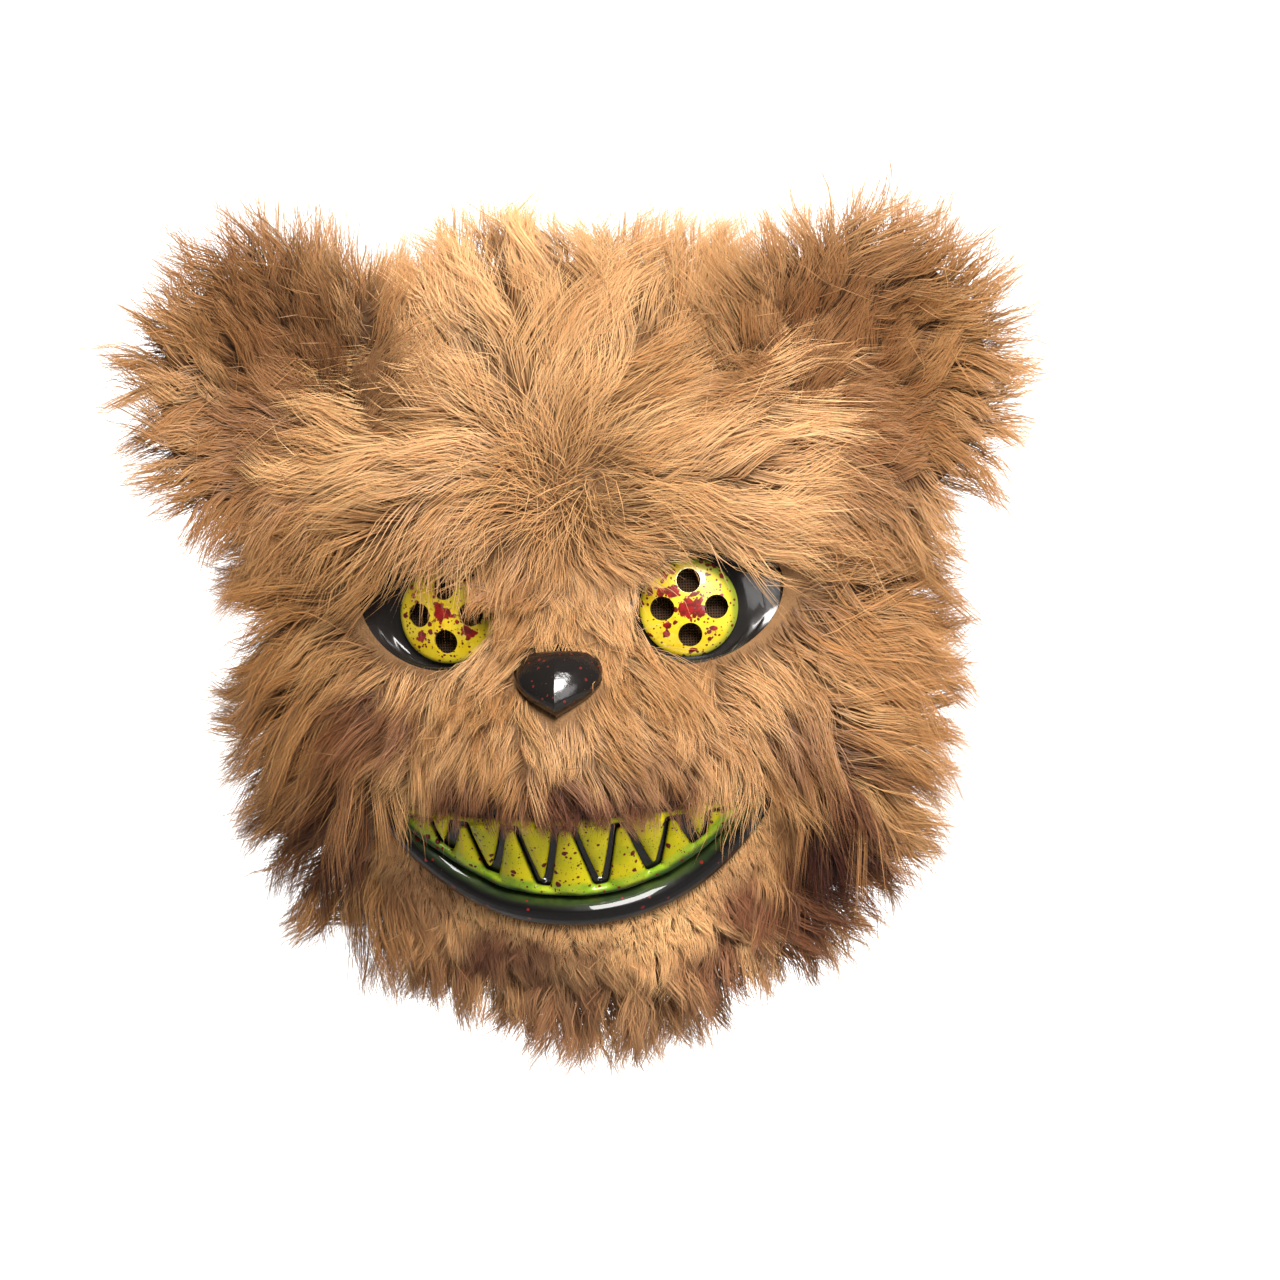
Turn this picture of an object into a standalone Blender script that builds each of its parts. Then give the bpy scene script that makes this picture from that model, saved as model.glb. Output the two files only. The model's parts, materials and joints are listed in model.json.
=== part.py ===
"""A plush bear mask: a thin moulded face shell, covered with long-pile fur fabric.

The shell shows through the fabric at the eyes, the nose and the grinning mouth. Two cupped
fur ears stand on its upper corners, and an elastic strap runs round the back of the head.
Metres, +Z up, and the face looks along -Y. The origin is where the shell bears on the
bridge of the wearer's nose, midway between the eyes.
"""

import math
import random
from typing import NamedTuple

import bmesh
import bpy
from mathutils import Vector

MM = 0.001

# Moulded face shell, seen from the front and from the side
HALF_WIDTH = 86 * MM
WIDEST_Z = -22 * MM
CROWN_Z = 94 * MM
CHIN_Z = -108 * MM
SIDE_DEPTH = 62 * MM
CROWN_DEPTH = 44 * MM
CHIN_DEPTH = 46 * MM
CROWN_SQUARENESS = 2.6
CHIN_SQUARENESS = 2.1
DOME_FULLNESS = 2.3
WALL = 1.5 * MM
SEAT_GAP = 0.3 * MM
FACE_RINGS = 10
FACE_COLUMNS = 32

# Eyes: domed discs seated in round-floored sockets, each with four sight holes
EYE_SPACING = 68 * MM
EYE_RADIUS = 13.5 * MM
EYE_CROWN = 3.6 * MM
EYE_WALL = 1.3 * MM
EYE_TURN = math.radians(9)
EYE_SET_BACK = 5.5 * MM
EYE_RINGS = 3
EYE_SIDES = 20
SIGHT_RADIUS = 3.3 * MM
SIGHT_OFFSET = 7.4 * MM
SIGHT_SIDES = 8
GAUZE_THICKNESS = 0.5 * MM
SOCKET_LAND = 2.2 * MM
SOCKET_HALF_WIDTH = 22.5 * MM
SOCKET_HALF_HEIGHT = 15 * MM
SOCKET_OUTWARD = 6 * MM
SOCKET_UP = 1.5 * MM
SOCKET_SLANT = math.radians(20)

# Nose: a glossy pad, wide at the top and pointed below
NOSE_Z = -17 * MM
NOSE_HALF_WIDTH = 12 * MM
NOSE_ABOVE = 6.5 * MM
NOSE_BELOW = 11 * MM
NOSE_RISE = 8.5 * MM
NOSE_RINGS = 4
NOSE_SIDES = 20

# Mouth: a crescent grin with a rolled lower lip and two rows of pointed teeth
MOUTH_HALF_WIDTH = 55 * MM
MOUTH_CORNER_Z = -49 * MM
LIP_LOW_Z = -81 * MM
LIP_CURVE = 2.3
LIP_WIDTH = 7.5 * MM
LIP_RISE = 5 * MM
LIP_CORNER_SHARE = 0.45
LIP_STEPS = 16
GUM_HEIGHT = 2.2 * MM
GUM_RISE = 1.6 * MM
MOUTH_TOP_Z = -54 * MM
MOUTH_TOP_ARCH = 5 * MM
TEETH_ACROSS = 47 * MM
TOOTH_PITCH = 15.5 * MM
PITCH_SHRINK = 0.055
FANGS_A_SIDE = 3
TOOTH_RISE = 3 * MM
TOOTH_GROOVE = 2.4 * MM
FANG_ROOT_HALF = 4.8 * MM
BREATH_RADIUS = 0.8 * MM

# Fur: the dense pile on the fabric, and the locks that stand out of it
PILE = 6.5 * MM
SHORT_PILE = 2 * MM
SHORT_BAND = 16 * MM
LOCK_LENGTH = 30 * MM
SHORT_LOCK = 14 * MM
LOCK_WIDTH = 19 * MM
LOCK_THICKNESS = 7 * MM
LOCK_SPACING = 24 * MM
LOCK_SINK = 3 * MM
LOCK_LIFT = 0.42
COMB_CENTRE_Z = 33 * MM
CUT_MARGIN = 1.2 * MM
OPENING_STEPS = 32

# Ears: cupped discs of fur on the upper corners
EAR_X = 80 * MM
EAR_Y = 30 * MM
EAR_Z = 61 * MM
EAR_RADIUS = 37 * MM
EAR_CUP = 11 * MM
EAR_THICKNESS = 13 * MM
EAR_TURN = math.radians(14)
EAR_RINGS = 3
EAR_SIDES = 20
EAR_LOCK_LENGTH = 20 * MM
EAR_LOCK_WIDTH = 13 * MM

# Elastic strap, held at each temple by a double-headed rivet
STRAP_WIDTH = 10 * MM
STRAP_THICKNESS = 1.2 * MM
STRAP_BACK_Y = 176 * MM
STRAP_STEPS = 30
STRAP_INSET = 1.4 * MM
TAIL_SHARES = (0.80, 0.835, 0.87)
ANCHOR_Z = 8 * MM
ANCHOR_SHARE = 0.90
RIVET_RADIUS = 1.5 * MM
RIVET_HEAD_RADIUS = 3.6 * MM
RIVET_HEAD = 1.1 * MM
RIVET_SIDES = 12
RUNNING_GAP = 0.3 * MM

FACE_HEIGHT = CROWN_Z - CHIN_Z
EYE_X = EYE_SPACING / 2
LEFT, RIGHT = -1, 1
SIDE_NAMES = {LEFT: "left", RIGHT: "right"}
FORWARD = Vector((0, -1, 0))
UP = Vector((0, 0, 1))
TINY = 1e-9


class Form(NamedTuple):
    """One moulded swelling. Places and sizes are shares of HALF_WIDTH, FACE_HEIGHT and SIDE_DEPTH."""

    name: str
    across: float
    up: float
    half_width: float
    half_height: float
    rise: float
    flatness: float


class LipStation(NamedTuple):
    """One edge of the lip bead's section, in shares of LIP_WIDTH and LIP_RISE."""

    across: float
    rise: float


class EarRow(NamedTuple):
    """A ring of locks on an ear: its radius and length as shares, and how far they lift forwards."""

    radius: float
    face: float
    lift: float
    length: float
    count: int


FORMS = (
    Form("bridge", 0.00, 0.005, 0.15, 0.110, 0.10, 1.0),
    Form("brow", 0.37, 0.130, 0.36, 0.075, 0.12, 1.0),
    Form("muzzle", 0.00, -0.200, 0.52, 0.160, 0.42, 1.3),
    Form("cheek", 0.68, -0.195, 0.26, 0.130, 0.14, 1.0),
    Form("chin", 0.00, -0.440, 0.36, 0.085, 0.16, 1.0),
)

LIP_SECTION = (
    LipStation(-0.50, 0.20),
    LipStation(-0.38, 0.75),
    LipStation(-0.12, 1.00),
    LipStation(0.16, 0.90),
    LipStation(0.38, 0.60),
    LipStation(0.50, 0.20),
)

EAR_ROWS = (
    EarRow(0.88, 0.0, 0.0, 1.00, 15),
    EarRow(0.60, 1.0, 1.1, 0.85, 8),
    EarRow(0.62, -1.0, -0.45, 0.85, 8),
    EarRow(0.28, -1.0, -0.60, 0.80, 4),
)


# Shape of the face

def smooth(share):
    share = min(max(share, 0), 1)
    return share * share * (3 - 2 * share)


def rim_share(x, z):
    """0 at the middle of the face to 1 at its rim, and how much of that lies up or down."""
    up = z - WIDEST_Z
    tall = CROWN_Z - WIDEST_Z if up > 0 else WIDEST_Z - CHIN_Z
    square = CROWN_SQUARENESS if up > 0 else CHIN_SQUARENESS
    across = abs(x / HALF_WIDTH) ** square
    along = abs(up / tall) ** square
    total = across + along
    return total ** (1 / square), along / max(total, TINY)


def dome_forward(x, z):
    """How far forward the plain dome stands: 0 in front, and negative towards the rim."""
    share, upright = rim_share(x, z)
    end_depth = CROWN_DEPTH if z > WIDEST_Z else CHIN_DEPTH
    depth = SIDE_DEPTH + (end_depth - SIDE_DEPTH) * upright
    hollow = max(1 - share**DOME_FULLNESS, 0) ** (1 / DOME_FULLNESS)
    return -depth * (1 - hollow)


def swelling(form, x, z):
    """The rise of one form at a point, the same on both sides of the face."""
    wide = (abs(x) / HALF_WIDTH - form.across) / form.half_width
    tall = (z / FACE_HEIGHT - form.up) / form.half_height
    return form.rise * SIDE_DEPTH * math.exp(-((wide**2 + tall**2) ** form.flatness))


def face_forward(x, z):
    return dome_forward(x, z) + sum(swelling(form, x, z) for form in FORMS)


SEAT_FORWARD = face_forward(0, 0) - WALL


def face_place(x, z):
    """The point of the shell's outer surface at x, z."""
    return Vector((x, SEAT_FORWARD - face_forward(x, z), z))


def front_of(angle, share):
    """A point of the outer surface: angle runs round the face, and share from its middle to its rim."""
    out = math.sin(share * math.pi / 2) ** (2 / DOME_FULLNESS)
    rise, run = math.sin(angle), math.cos(angle)
    square = CROWN_SQUARENESS if rise > 0 else CHIN_SQUARENESS
    tall = CROWN_Z - WIDEST_Z if rise > 0 else WIDEST_Z - CHIN_Z
    x = out * HALF_WIDTH * math.copysign(abs(run) ** (2 / square), run)
    z = WIDEST_Z + out * tall * math.copysign(abs(rise) ** (2 / square), rise)
    return face_place(x, z)


def outward_at(angle, share):
    """Outward normal of the shell, from short steps along its surface."""
    step = 0.004
    inner, outer = max(share - step, step / 2), min(share + step, 1)
    along = front_of(angle, outer) - front_of(angle, inner)
    sideways = front_of(angle + step, max(share, step)) - front_of(angle - step, max(share, step))
    return along.cross(sideways).normalized()


def normal_at(x, z):
    """Outward normal at x, z, for places well inside the rim."""
    step = 0.5 * MM
    slope_x = (face_forward(x + step, z) - face_forward(x - step, z)) / (2 * step)
    slope_z = (face_forward(x, z + step) - face_forward(x, z - step)) / (2 * step)
    return Vector((-slope_x, -1, -slope_z)).normalized()


def lip_z(x):
    """Height of the middle of the lower lip."""
    return LIP_LOW_Z + (MOUTH_CORNER_Z - LIP_LOW_Z) * abs(x / MOUTH_HALF_WIDTH) ** LIP_CURVE


def lip_frame(x):
    """The lip's slimness at x, and the way across it, upwards."""
    share = abs(x / MOUTH_HALF_WIDTH)
    run = (MOUTH_CORNER_Z - LIP_LOW_Z) * LIP_CURVE * share ** (LIP_CURVE - 1) / MOUTH_HALF_WIDTH
    slope = math.copysign(run, x)
    slim = 1 - (1 - LIP_CORNER_SHARE) * share**4
    return slim, Vector((-slope, 0, 1)).normalized()


def gum_z(x):
    """Height of the upper edge of the lower gum."""
    slim, upward = lip_frame(x)
    return lip_z(x) + 2 * SEAT_GAP + slim * (LIP_WIDTH / 2 + GUM_HEIGHT) / upward.z


def mouth_top_z(x):
    """Height of the cut edge of the fabric above the teeth."""
    return MOUTH_TOP_Z + MOUTH_TOP_ARCH * (x / MOUTH_HALF_WIDTH) ** 2


def pile_at(place):
    """Depth of the dense pile: shaved short in a band under the lip."""
    below = lip_z(min(abs(place.x), MOUTH_HALF_WIDTH)) - LIP_WIDTH / 2 - place.z
    inside = 1 - smooth((abs(place.x) - MOUTH_HALF_WIDTH) / SHORT_BAND)
    shaved = inside * (1 - smooth(below / SHORT_BAND)) * smooth(1 + (below + LIP_WIDTH) / LIP_WIDTH)
    return PILE + (SHORT_PILE - PILE) * shaved


# Blender helpers

def clear_scene():
    for obj in list(bpy.data.objects):
        bpy.data.objects.remove(obj, do_unlink=True)


def finish_material(name, colour, roughness):
    material = bpy.data.materials.new(name)
    material.use_nodes = True
    shader = material.node_tree.nodes["Principled BSDF"]
    shader.inputs["Base Color"].default_value = (*colour, 1)
    shader.inputs["Roughness"].default_value = roughness
    return material


def add_object(name, bm, material=None, smooth_angle=None):
    """A named object from a bmesh: flat triangles for the Booleans, turned to point outwards."""
    bmesh.ops.triangulate(bm, faces=bm.faces, quad_method="FIXED")
    bmesh.ops.recalc_face_normals(bm, faces=bm.faces)
    mesh = bpy.data.meshes.new(name)
    bm.to_mesh(mesh)
    bm.free()
    if smooth_angle is not None:
        mesh.shade_smooth()
        mesh.set_sharp_from_angle(angle=math.radians(smooth_angle))
    obj = bpy.data.objects.new(name, mesh)
    bpy.context.scene.collection.objects.link(obj)
    if material:
        mesh.materials.append(material)
    return obj


def add_helper(name, bm):
    """A cutter or an addition: it takes part in Booleans and is no piece of the mask."""
    obj = add_object(name, bm)
    obj.hide_render = True
    obj.display_type = "WIRE"
    return obj


def boolean(obj, operation, helper, crossing=False):
    """Cut or add a helper. Crossing says that the helper's own bodies run through each other."""
    modifier = obj.modifiers.new(f"{operation.lower()}_{helper.name}", "BOOLEAN")
    modifier.operation = operation
    modifier.object = helper
    modifier.solver = "EXACT"
    modifier.use_self = crossing


def add_loop(bm, points):
    return [bm.verts.new(point) for point in points]


def bridge(bm, first, second):
    """Quads between two closed loops of as many points."""
    count = len(first)
    for i in range(count):
        j = (i + 1) % count
        bm.faces.new((first[i], first[j], second[j], second[i]))


def close_with_point(bm, loop, point):
    tip = bm.verts.new(point)
    for i, vert in enumerate(loop):
        bm.faces.new((vert, loop[(i + 1) % len(loop)], tip))


def circle_points(centre, across, upward, radius, sides):
    turns = [2 * math.pi * i / sides for i in range(sides)]
    return [centre + radius * (across * math.cos(t) + upward * math.sin(t)) for t in turns]


def axes_across(axis):
    """Two directions square to an axis: to the right and up, seen from in front."""
    across = UP.cross(axis).normalized()
    return across, axis.cross(across).normalized()


def add_drum(bm, centre, axis, radius, back, front, sides):
    """A closed cylinder about an axis, from back to front of its centre."""
    across, upward = axes_across(axis)
    low = add_loop(bm, circle_points(centre + axis * back, across, upward, radius, sides))
    high = add_loop(bm, circle_points(centre + axis * front, across, upward, radius, sides))
    bridge(bm, low, high)
    bm.faces.new(low)
    bm.faces.new(high)


def add_prism(bm, outline, axis, reach):
    """A closed prism along an axis, through an outline of x, z points of the face."""
    places = [face_place(x, z) for x, z in outline]
    low = add_loop(bm, [place - axis * reach for place in places])
    high = add_loop(bm, [place + axis * reach for place in places])
    bridge(bm, low, high)
    bm.faces.new(low)
    bm.faces.new(high)


# Layers that follow the face

def face_layer(bm, offset):
    """One open layer over the whole face, moved outwards by offset(place). Returns its rim."""
    rings = []
    for ring in range(1, FACE_RINGS + 1):
        share = ring / FACE_RINGS
        points = []
        for column in range(FACE_COLUMNS):
            angle = 2 * math.pi * column / FACE_COLUMNS
            place = front_of(angle, share)
            points.append(place + outward_at(angle, share) * offset(place))
        rings.append(add_loop(bm, points))
    middle = face_place(0, WIDEST_Z)
    close_with_point(bm, rings[0], middle + normal_at(0, WIDEST_Z) * offset(middle))
    for inner, outer in zip(rings, rings[1:]):
        bridge(bm, inner, outer)
    return rings[-1]


def face_wall(back_offset, front_offset):
    """A closed wall over the whole face, between two layers."""
    bm = bmesh.new()
    bridge(bm, face_layer(bm, back_offset), face_layer(bm, front_offset))
    return bm


def face_block(name, offset):
    """Everything behind a layer over the face: what must be clear of the pieces outside it."""
    bm = bmesh.new()
    rim = face_layer(bm, offset)
    back = add_loop(bm, [(vert.co.x, 2 * SIDE_DEPTH, vert.co.z) for vert in rim])
    bridge(bm, rim, back)
    bm.faces.new(back)
    return add_helper(name, bm)


def seat_cutter():
    """What trims the backs of the pieces that sit on the shell."""
    return add_helper("seat", face_wall(lambda p: -5 * WALL, lambda p: SEAT_GAP))


# Eyes

def eye_frame(side):
    """Middle of the socket's floor, and the way that the eye looks."""
    look = Vector((side * math.sin(EYE_TURN), -math.cos(EYE_TURN), 0))
    return face_place(side * EYE_X, 0) - look * EYE_SET_BACK, look


def socket_outline(side, grow, steps):
    """x, z points of the slanted oval that the socket opens in."""
    points = []
    wide, tall = SOCKET_HALF_WIDTH + grow, SOCKET_HALF_HEIGHT + grow
    for step in range(steps):
        turn = 2 * math.pi * step / steps
        turn = turn if side == RIGHT else math.pi - turn
        lean = turn - SOCKET_SLANT
        radius = wide * tall / math.hypot(tall * math.cos(lean), wide * math.sin(lean))
        x = side * (EYE_X + SOCKET_OUTWARD + radius * math.cos(turn))
        points.append((x, SOCKET_UP + radius * math.sin(turn)))
    return points


def add_socket(bm, side, grow, sink, floor_back, out):
    """A cup from the round floor out to the oval mouth, and on forwards where it is a cutter."""
    place, look = eye_frame(side)
    across, upward = axes_across(look)
    radius = EYE_RADIUS + SOCKET_LAND + grow
    floor = add_loop(bm, circle_points(place - look * floor_back, across, upward, radius, EYE_SIDES))
    rim = [face_place(x, z) - normal_at(x, z) * sink for x, z in socket_outline(side, grow, EYE_SIDES)]
    mouth = add_loop(bm, rim)
    bridge(bm, floor, mouth)
    bm.faces.new(floor)
    if out:
        front = add_loop(bm, [point + look * out for point in rim])
        bridge(bm, mouth, front)
        mouth = front
    middle = face_place(side * (EYE_X + SOCKET_OUTWARD), SOCKET_UP)
    close_with_point(bm, mouth, middle + look * (out - sink))


def socket_cups(name, grow, sink, floor_back, out):
    bm = bmesh.new()
    for side in (LEFT, RIGHT):
        add_socket(bm, side, grow, sink, floor_back, out)
    return add_helper(name, bm)


def eye_bores():
    """The openings behind the eye discs, whose rims overlap them."""
    bm = bmesh.new()
    for side in (LEFT, RIGHT):
        place, look = eye_frame(side)
        add_drum(bm, place, look, EYE_RADIUS - SOCKET_LAND, -4 * WALL, 4 * WALL, EYE_SIDES)
    return add_helper("bores", bm)


def sight_holes(side):
    bm = bmesh.new()
    place, look = eye_frame(side)
    across, upward = axes_across(look)
    for centre in circle_points(place, across, upward, SIGHT_OFFSET, 4):
        add_drum(bm, centre, look, SIGHT_RADIUS, -EYE_CROWN, 3 * EYE_CROWN, SIGHT_SIDES)
    return add_helper(f"sight_{SIDE_NAMES[side]}", bm)


def eye_disc(side, material):
    """A crowned disc of even thickness, pierced by four sight holes."""
    place, look = eye_frame(side)
    across, upward = axes_across(look)
    bm = bmesh.new()
    rims = []
    for lift in (SEAT_GAP, SEAT_GAP + EYE_WALL):
        rings = []
        for ring in range(1, EYE_RINGS + 1):
            share = ring / EYE_RINGS
            centre = place + look * (lift + EYE_CROWN * (1 - share**2))
            rings.append(add_loop(bm, circle_points(centre, across, upward, EYE_RADIUS * share, EYE_SIDES)))
        close_with_point(bm, rings[0], place + look * (lift + EYE_CROWN))
        for inner, outer in zip(rings, rings[1:]):
            bridge(bm, inner, outer)
        rims.append(rings[-1])
    bridge(bm, *rims)
    disc = add_object(f"eye_{SIDE_NAMES[side]}", bm, material, 40)
    boolean(disc, "DIFFERENCE", sight_holes(side))


def eye_gauze(side, material):
    """A disc of dark gauze behind the socket's floor, which closes the sight holes to view."""
    bm = bmesh.new()
    place, look = eye_frame(side)
    back = -(WALL + SEAT_GAP)
    add_drum(bm, place, look, EYE_RADIUS, back - GAUZE_THICKNESS, back, EYE_SIDES)
    add_object(f"eye_gauze_{SIDE_NAMES[side]}", bm, material, 40)


# Face shell

def temple_angle(side):
    """The turn round the face at which the strap is anchored."""
    angle = math.asin(((ANCHOR_Z - WIDEST_Z) / (CROWN_Z - WIDEST_Z)) ** (CROWN_SQUARENESS / 2))
    return angle if side == RIGHT else math.pi - angle


def strap_anchor(side):
    """Where the rivet passes through the shell's side wall, and the wall's normal there."""
    angle = temple_angle(side)
    return front_of(angle, ANCHOR_SHARE), outward_at(angle, ANCHOR_SHARE)


def rivet_hole(name, side, radius, back, front):
    bm = bmesh.new()
    place, normal = strap_anchor(side)
    add_drum(bm, place, normal, radius, back, front, RIVET_SIDES)
    return add_helper(f"{name}_{SIDE_NAMES[side]}", bm)


def fang_middles():
    """The x of the points of the upper fangs on one side, from the middle outwards."""
    return [TOOTH_PITCH * (i + 0.5) * (1 - PITCH_SHRINK * i) for i in range(FANGS_A_SIDE)]


def breath_holes():
    """Small drilled holes in the grooves below the two middle fangs."""
    bm = bmesh.new()
    for x in (-fang_middles()[0], fang_middles()[0]):
        z = gum_z(x) + BREATH_RADIUS + SEAT_GAP
        add_drum(bm, face_place(x, z), normal_at(x, z), BREATH_RADIUS, -3 * WALL, 3 * WALL, SIGHT_SIDES)
    return add_helper("breath_holes", bm)


def face_shell(material):
    """The moulded wall with its two eye sockets, and the small holes in it."""
    shell = add_object("face_shell", face_wall(lambda p: -WALL, lambda p: 0), material, 50)
    boolean(shell, "UNION", socket_cups("sockets", WALL, WALL / 2, WALL, 0))
    boolean(shell, "DIFFERENCE", socket_cups("socket_hollows", 0, -WALL / 3, 0, 4 * WALL))
    boolean(shell, "DIFFERENCE", eye_bores())
    for side in (LEFT, RIGHT):
        boolean(shell, "DIFFERENCE", rivet_hole("rivet_hole", side, RIVET_RADIUS + RUNNING_GAP, -4 * WALL, 4 * WALL))
    boolean(shell, "DIFFERENCE", breath_holes())


# Nose

def nose_outline(grow=0.0):
    """x, z points of the nose's edge: flat above and pointed below, grown by a margin."""
    points = []
    for side in range(NOSE_SIDES):
        turn = 2 * math.pi * side / NOSE_SIDES
        rise, run = math.sin(turn), math.cos(turn)
        if rise > 0:
            x = math.copysign(abs(run) ** 0.7, run)
            z = (NOSE_ABOVE + grow) * rise**0.7
        else:
            x = math.copysign(abs(run) ** 1.25, run)
            z = -(NOSE_BELOW + grow) * abs(rise) ** 0.9
        points.append(((NOSE_HALF_WIDTH + grow) * x, NOSE_Z + z))
    return points


def nose_look():
    """The way that the nose points: between straight ahead and square to the muzzle."""
    return (normal_at(0, NOSE_Z) + FORWARD).normalized()


def nose_pad(material, seat):
    """A full, rounded pad, a little overhanging in front."""
    bm = bmesh.new()
    look = nose_look()
    outline = nose_outline()
    back = add_loop(bm, [face_place(x, z) - look * 2 * WALL for x, z in outline])
    bm.faces.new(back)
    last = back
    for ring in range(NOSE_RINGS):
        share = 1 - (ring / NOSE_RINGS) ** 1.5
        lift = NOSE_RISE * (0.25 + 0.75 * (1 - share**2) ** 0.5)
        points = [
            face_place(x * share, NOSE_Z + (z - NOSE_Z) * share) + look * lift for x, z in outline
        ]
        loop = add_loop(bm, points)
        bridge(bm, last, loop)
        last = loop
    close_with_point(bm, last, face_place(0, NOSE_Z) + look * NOSE_RISE)
    nose = add_object("nose", bm, material, 50)
    boolean(nose, "DIFFERENCE", seat)


# Mouth

def add_relief(bm, columns):
    """A closed raised patch on the shell. Each column is a row of (x, z, rise) across the patch."""
    fronts, backs = [], []
    for column in columns:
        fronts.append(add_loop(bm, [face_place(x, z) + normal_at(x, z) * rise for x, z, rise in column]))
        backs.append(add_loop(bm, [face_place(x, z) - normal_at(x, z) * 2 * WALL for x, z, _ in column]))
    rows = len(fronts[0])
    for layer in (fronts, backs):
        for first, second in zip(layer, layer[1:]):
            for i in range(rows - 1):
                bm.faces.new((first[i], first[i + 1], second[i + 1], second[i]))
    for edge in (0, -1):
        for i in range(len(fronts) - 1):
            bm.faces.new((fronts[i][edge], fronts[i + 1][edge], backs[i + 1][edge], backs[i][edge]))
        for i in range(rows - 1):
            bm.faces.new((fronts[edge][i], fronts[edge][i + 1], backs[edge][i + 1], backs[edge][i]))


def spread(first, last, steps):
    return [first + (last - first) * i / steps for i in range(steps + 1)]


def lower_lip(material, seat):
    """The rolled bead below the teeth, thinner towards the corners of the grin."""
    columns = []
    for x in spread(-MOUTH_HALF_WIDTH, MOUTH_HALF_WIDTH, LIP_STEPS):
        slim, upward = lip_frame(x)
        column = []
        for station in LIP_SECTION:
            place = Vector((x, 0, lip_z(x))) + upward * station.across * LIP_WIDTH * slim
            column.append((place.x, place.z, station.rise * LIP_RISE * slim))
        columns.append(column)
    bm = bmesh.new()
    add_relief(bm, columns)
    lip = add_object("lower_lip", bm, material, 50)
    boolean(lip, "DIFFERENCE", seat)


def tooth(middle, root_half, tip_half, root_at, tip_z):
    """Columns of a pointed tooth, from a root that follows its gum to a narrow tip."""
    columns = []
    for across in (-1, -0.5, 0.5, 1):
        crown = (1 - across**2) ** 0.5
        low, high = middle + root_half * across, middle + tip_half * across
        column = []
        for up in (0, 0.5, 1):
            rise = TOOTH_RISE * (0.4 + 0.6 * crown) * (1 - 0.3 * up)
            column.append((low + (high - low) * up, root_at(low) + (tip_z - root_at(low)) * up, rise))
        columns.append(column)
    return columns


def lower_teeth(material, seat):
    """The gum behind the lip, and the teeth that stand up from it between the fangs."""
    bm = bmesh.new()
    columns = []
    for x in spread(-TEETH_ACROSS, TEETH_ACROSS, LIP_STEPS):
        slim, upward = lip_frame(x)
        column = []
        for height in (0, 0.5, 1):
            reach = 2 * SEAT_GAP + slim * (LIP_WIDTH / 2 + GUM_HEIGHT * height)
            place = Vector((x, 0, lip_z(x))) + upward * reach
            column.append((place.x, place.z, GUM_RISE))
        columns.append(column)
    add_relief(bm, columns)
    teeth = add_object("lower_teeth", bm, material, 50)
    crowns = bmesh.new()
    edges = [-x for x in reversed(fang_middles())] + fang_middles()
    edges = [-TEETH_ACROSS - TOOTH_GROOVE / 2, *edges, TEETH_ACROSS + TOOTH_GROOVE / 2]
    for left, right in zip(edges, edges[1:]):
        middle = (left + right) / 2
        half = (right - left - TOOTH_GROOVE) / 2
        lean = FANG_ROOT_HALF if abs(middle) < fang_middles()[-1] else FANG_ROOT_HALF / 2
        point = max(half - lean, half * 0.16)
        top = mouth_top_z(middle) - GUM_HEIGHT - TOOTH_GROOVE / 2
        add_relief(crowns, tooth(middle, half, point, lambda x: gum_z(x) - GUM_HEIGHT / 3, top))
    boolean(teeth, "UNION", add_helper("lower_crowns", crowns))
    boolean(teeth, "DIFFERENCE", seat)


def upper_teeth(material, seat):
    """The gum under the fabric's cut edge, and the fangs that hang from it."""
    bm = bmesh.new()
    across = TEETH_ACROSS - TOOTH_GROOVE
    columns = []
    for x in spread(-across, across, LIP_STEPS):
        top = mouth_top_z(x) - CUT_MARGIN / 2
        columns.append([(x, top - GUM_HEIGHT * share, GUM_RISE) for share in (1, 0.5, 0)])
    add_relief(bm, columns)
    teeth = add_object("upper_teeth", bm, material, 50)
    fangs = bmesh.new()
    for middle in (*(-x for x in fang_middles()), *fang_middles()):
        root = mouth_top_z(middle) - CUT_MARGIN / 2 - GUM_HEIGHT / 2
        point = gum_z(middle) + 2 * BREATH_RADIUS + 2 * SEAT_GAP
        half = min(FANG_ROOT_HALF, (root - point) / 2.6)
        add_relief(fangs, tooth(middle, half, half / 10, lambda x: root, point))
    boolean(teeth, "UNION", add_helper("fangs", fangs))
    boolean(teeth, "DIFFERENCE", seat)


def mouth_outline():
    """x, z points of the crescent cut in the fabric round the lip and the teeth."""
    points = []
    for x in spread(-MOUTH_HALF_WIDTH, MOUTH_HALF_WIDTH, OPENING_STEPS // 2):
        slim, upward = lip_frame(x)
        margin = CUT_MARGIN * (1 + (x / MOUTH_HALF_WIDTH) ** 2)
        place = Vector((x, 0, lip_z(x))) - upward * (LIP_WIDTH * slim / 2 + margin)
        points.append((place.x, place.z))
    slim, upward = lip_frame(MOUTH_HALF_WIDTH)
    along = Vector((upward.z, 0, -upward.x))
    reach = upward * (LIP_WIDTH * slim / 2 + CUT_MARGIN) + along * 2 * CUT_MARGIN
    corner = Vector((MOUTH_HALF_WIDTH, 0, MOUTH_CORNER_Z)) + reach
    points.append((corner.x, corner.z))
    inner = corner.x - LIP_WIDTH / 2
    points.extend((x, mouth_top_z(x) + CUT_MARGIN) for x in spread(inner, -inner, OPENING_STEPS // 2))
    points.append((-corner.x, corner.z))
    return points


# Fur

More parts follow.
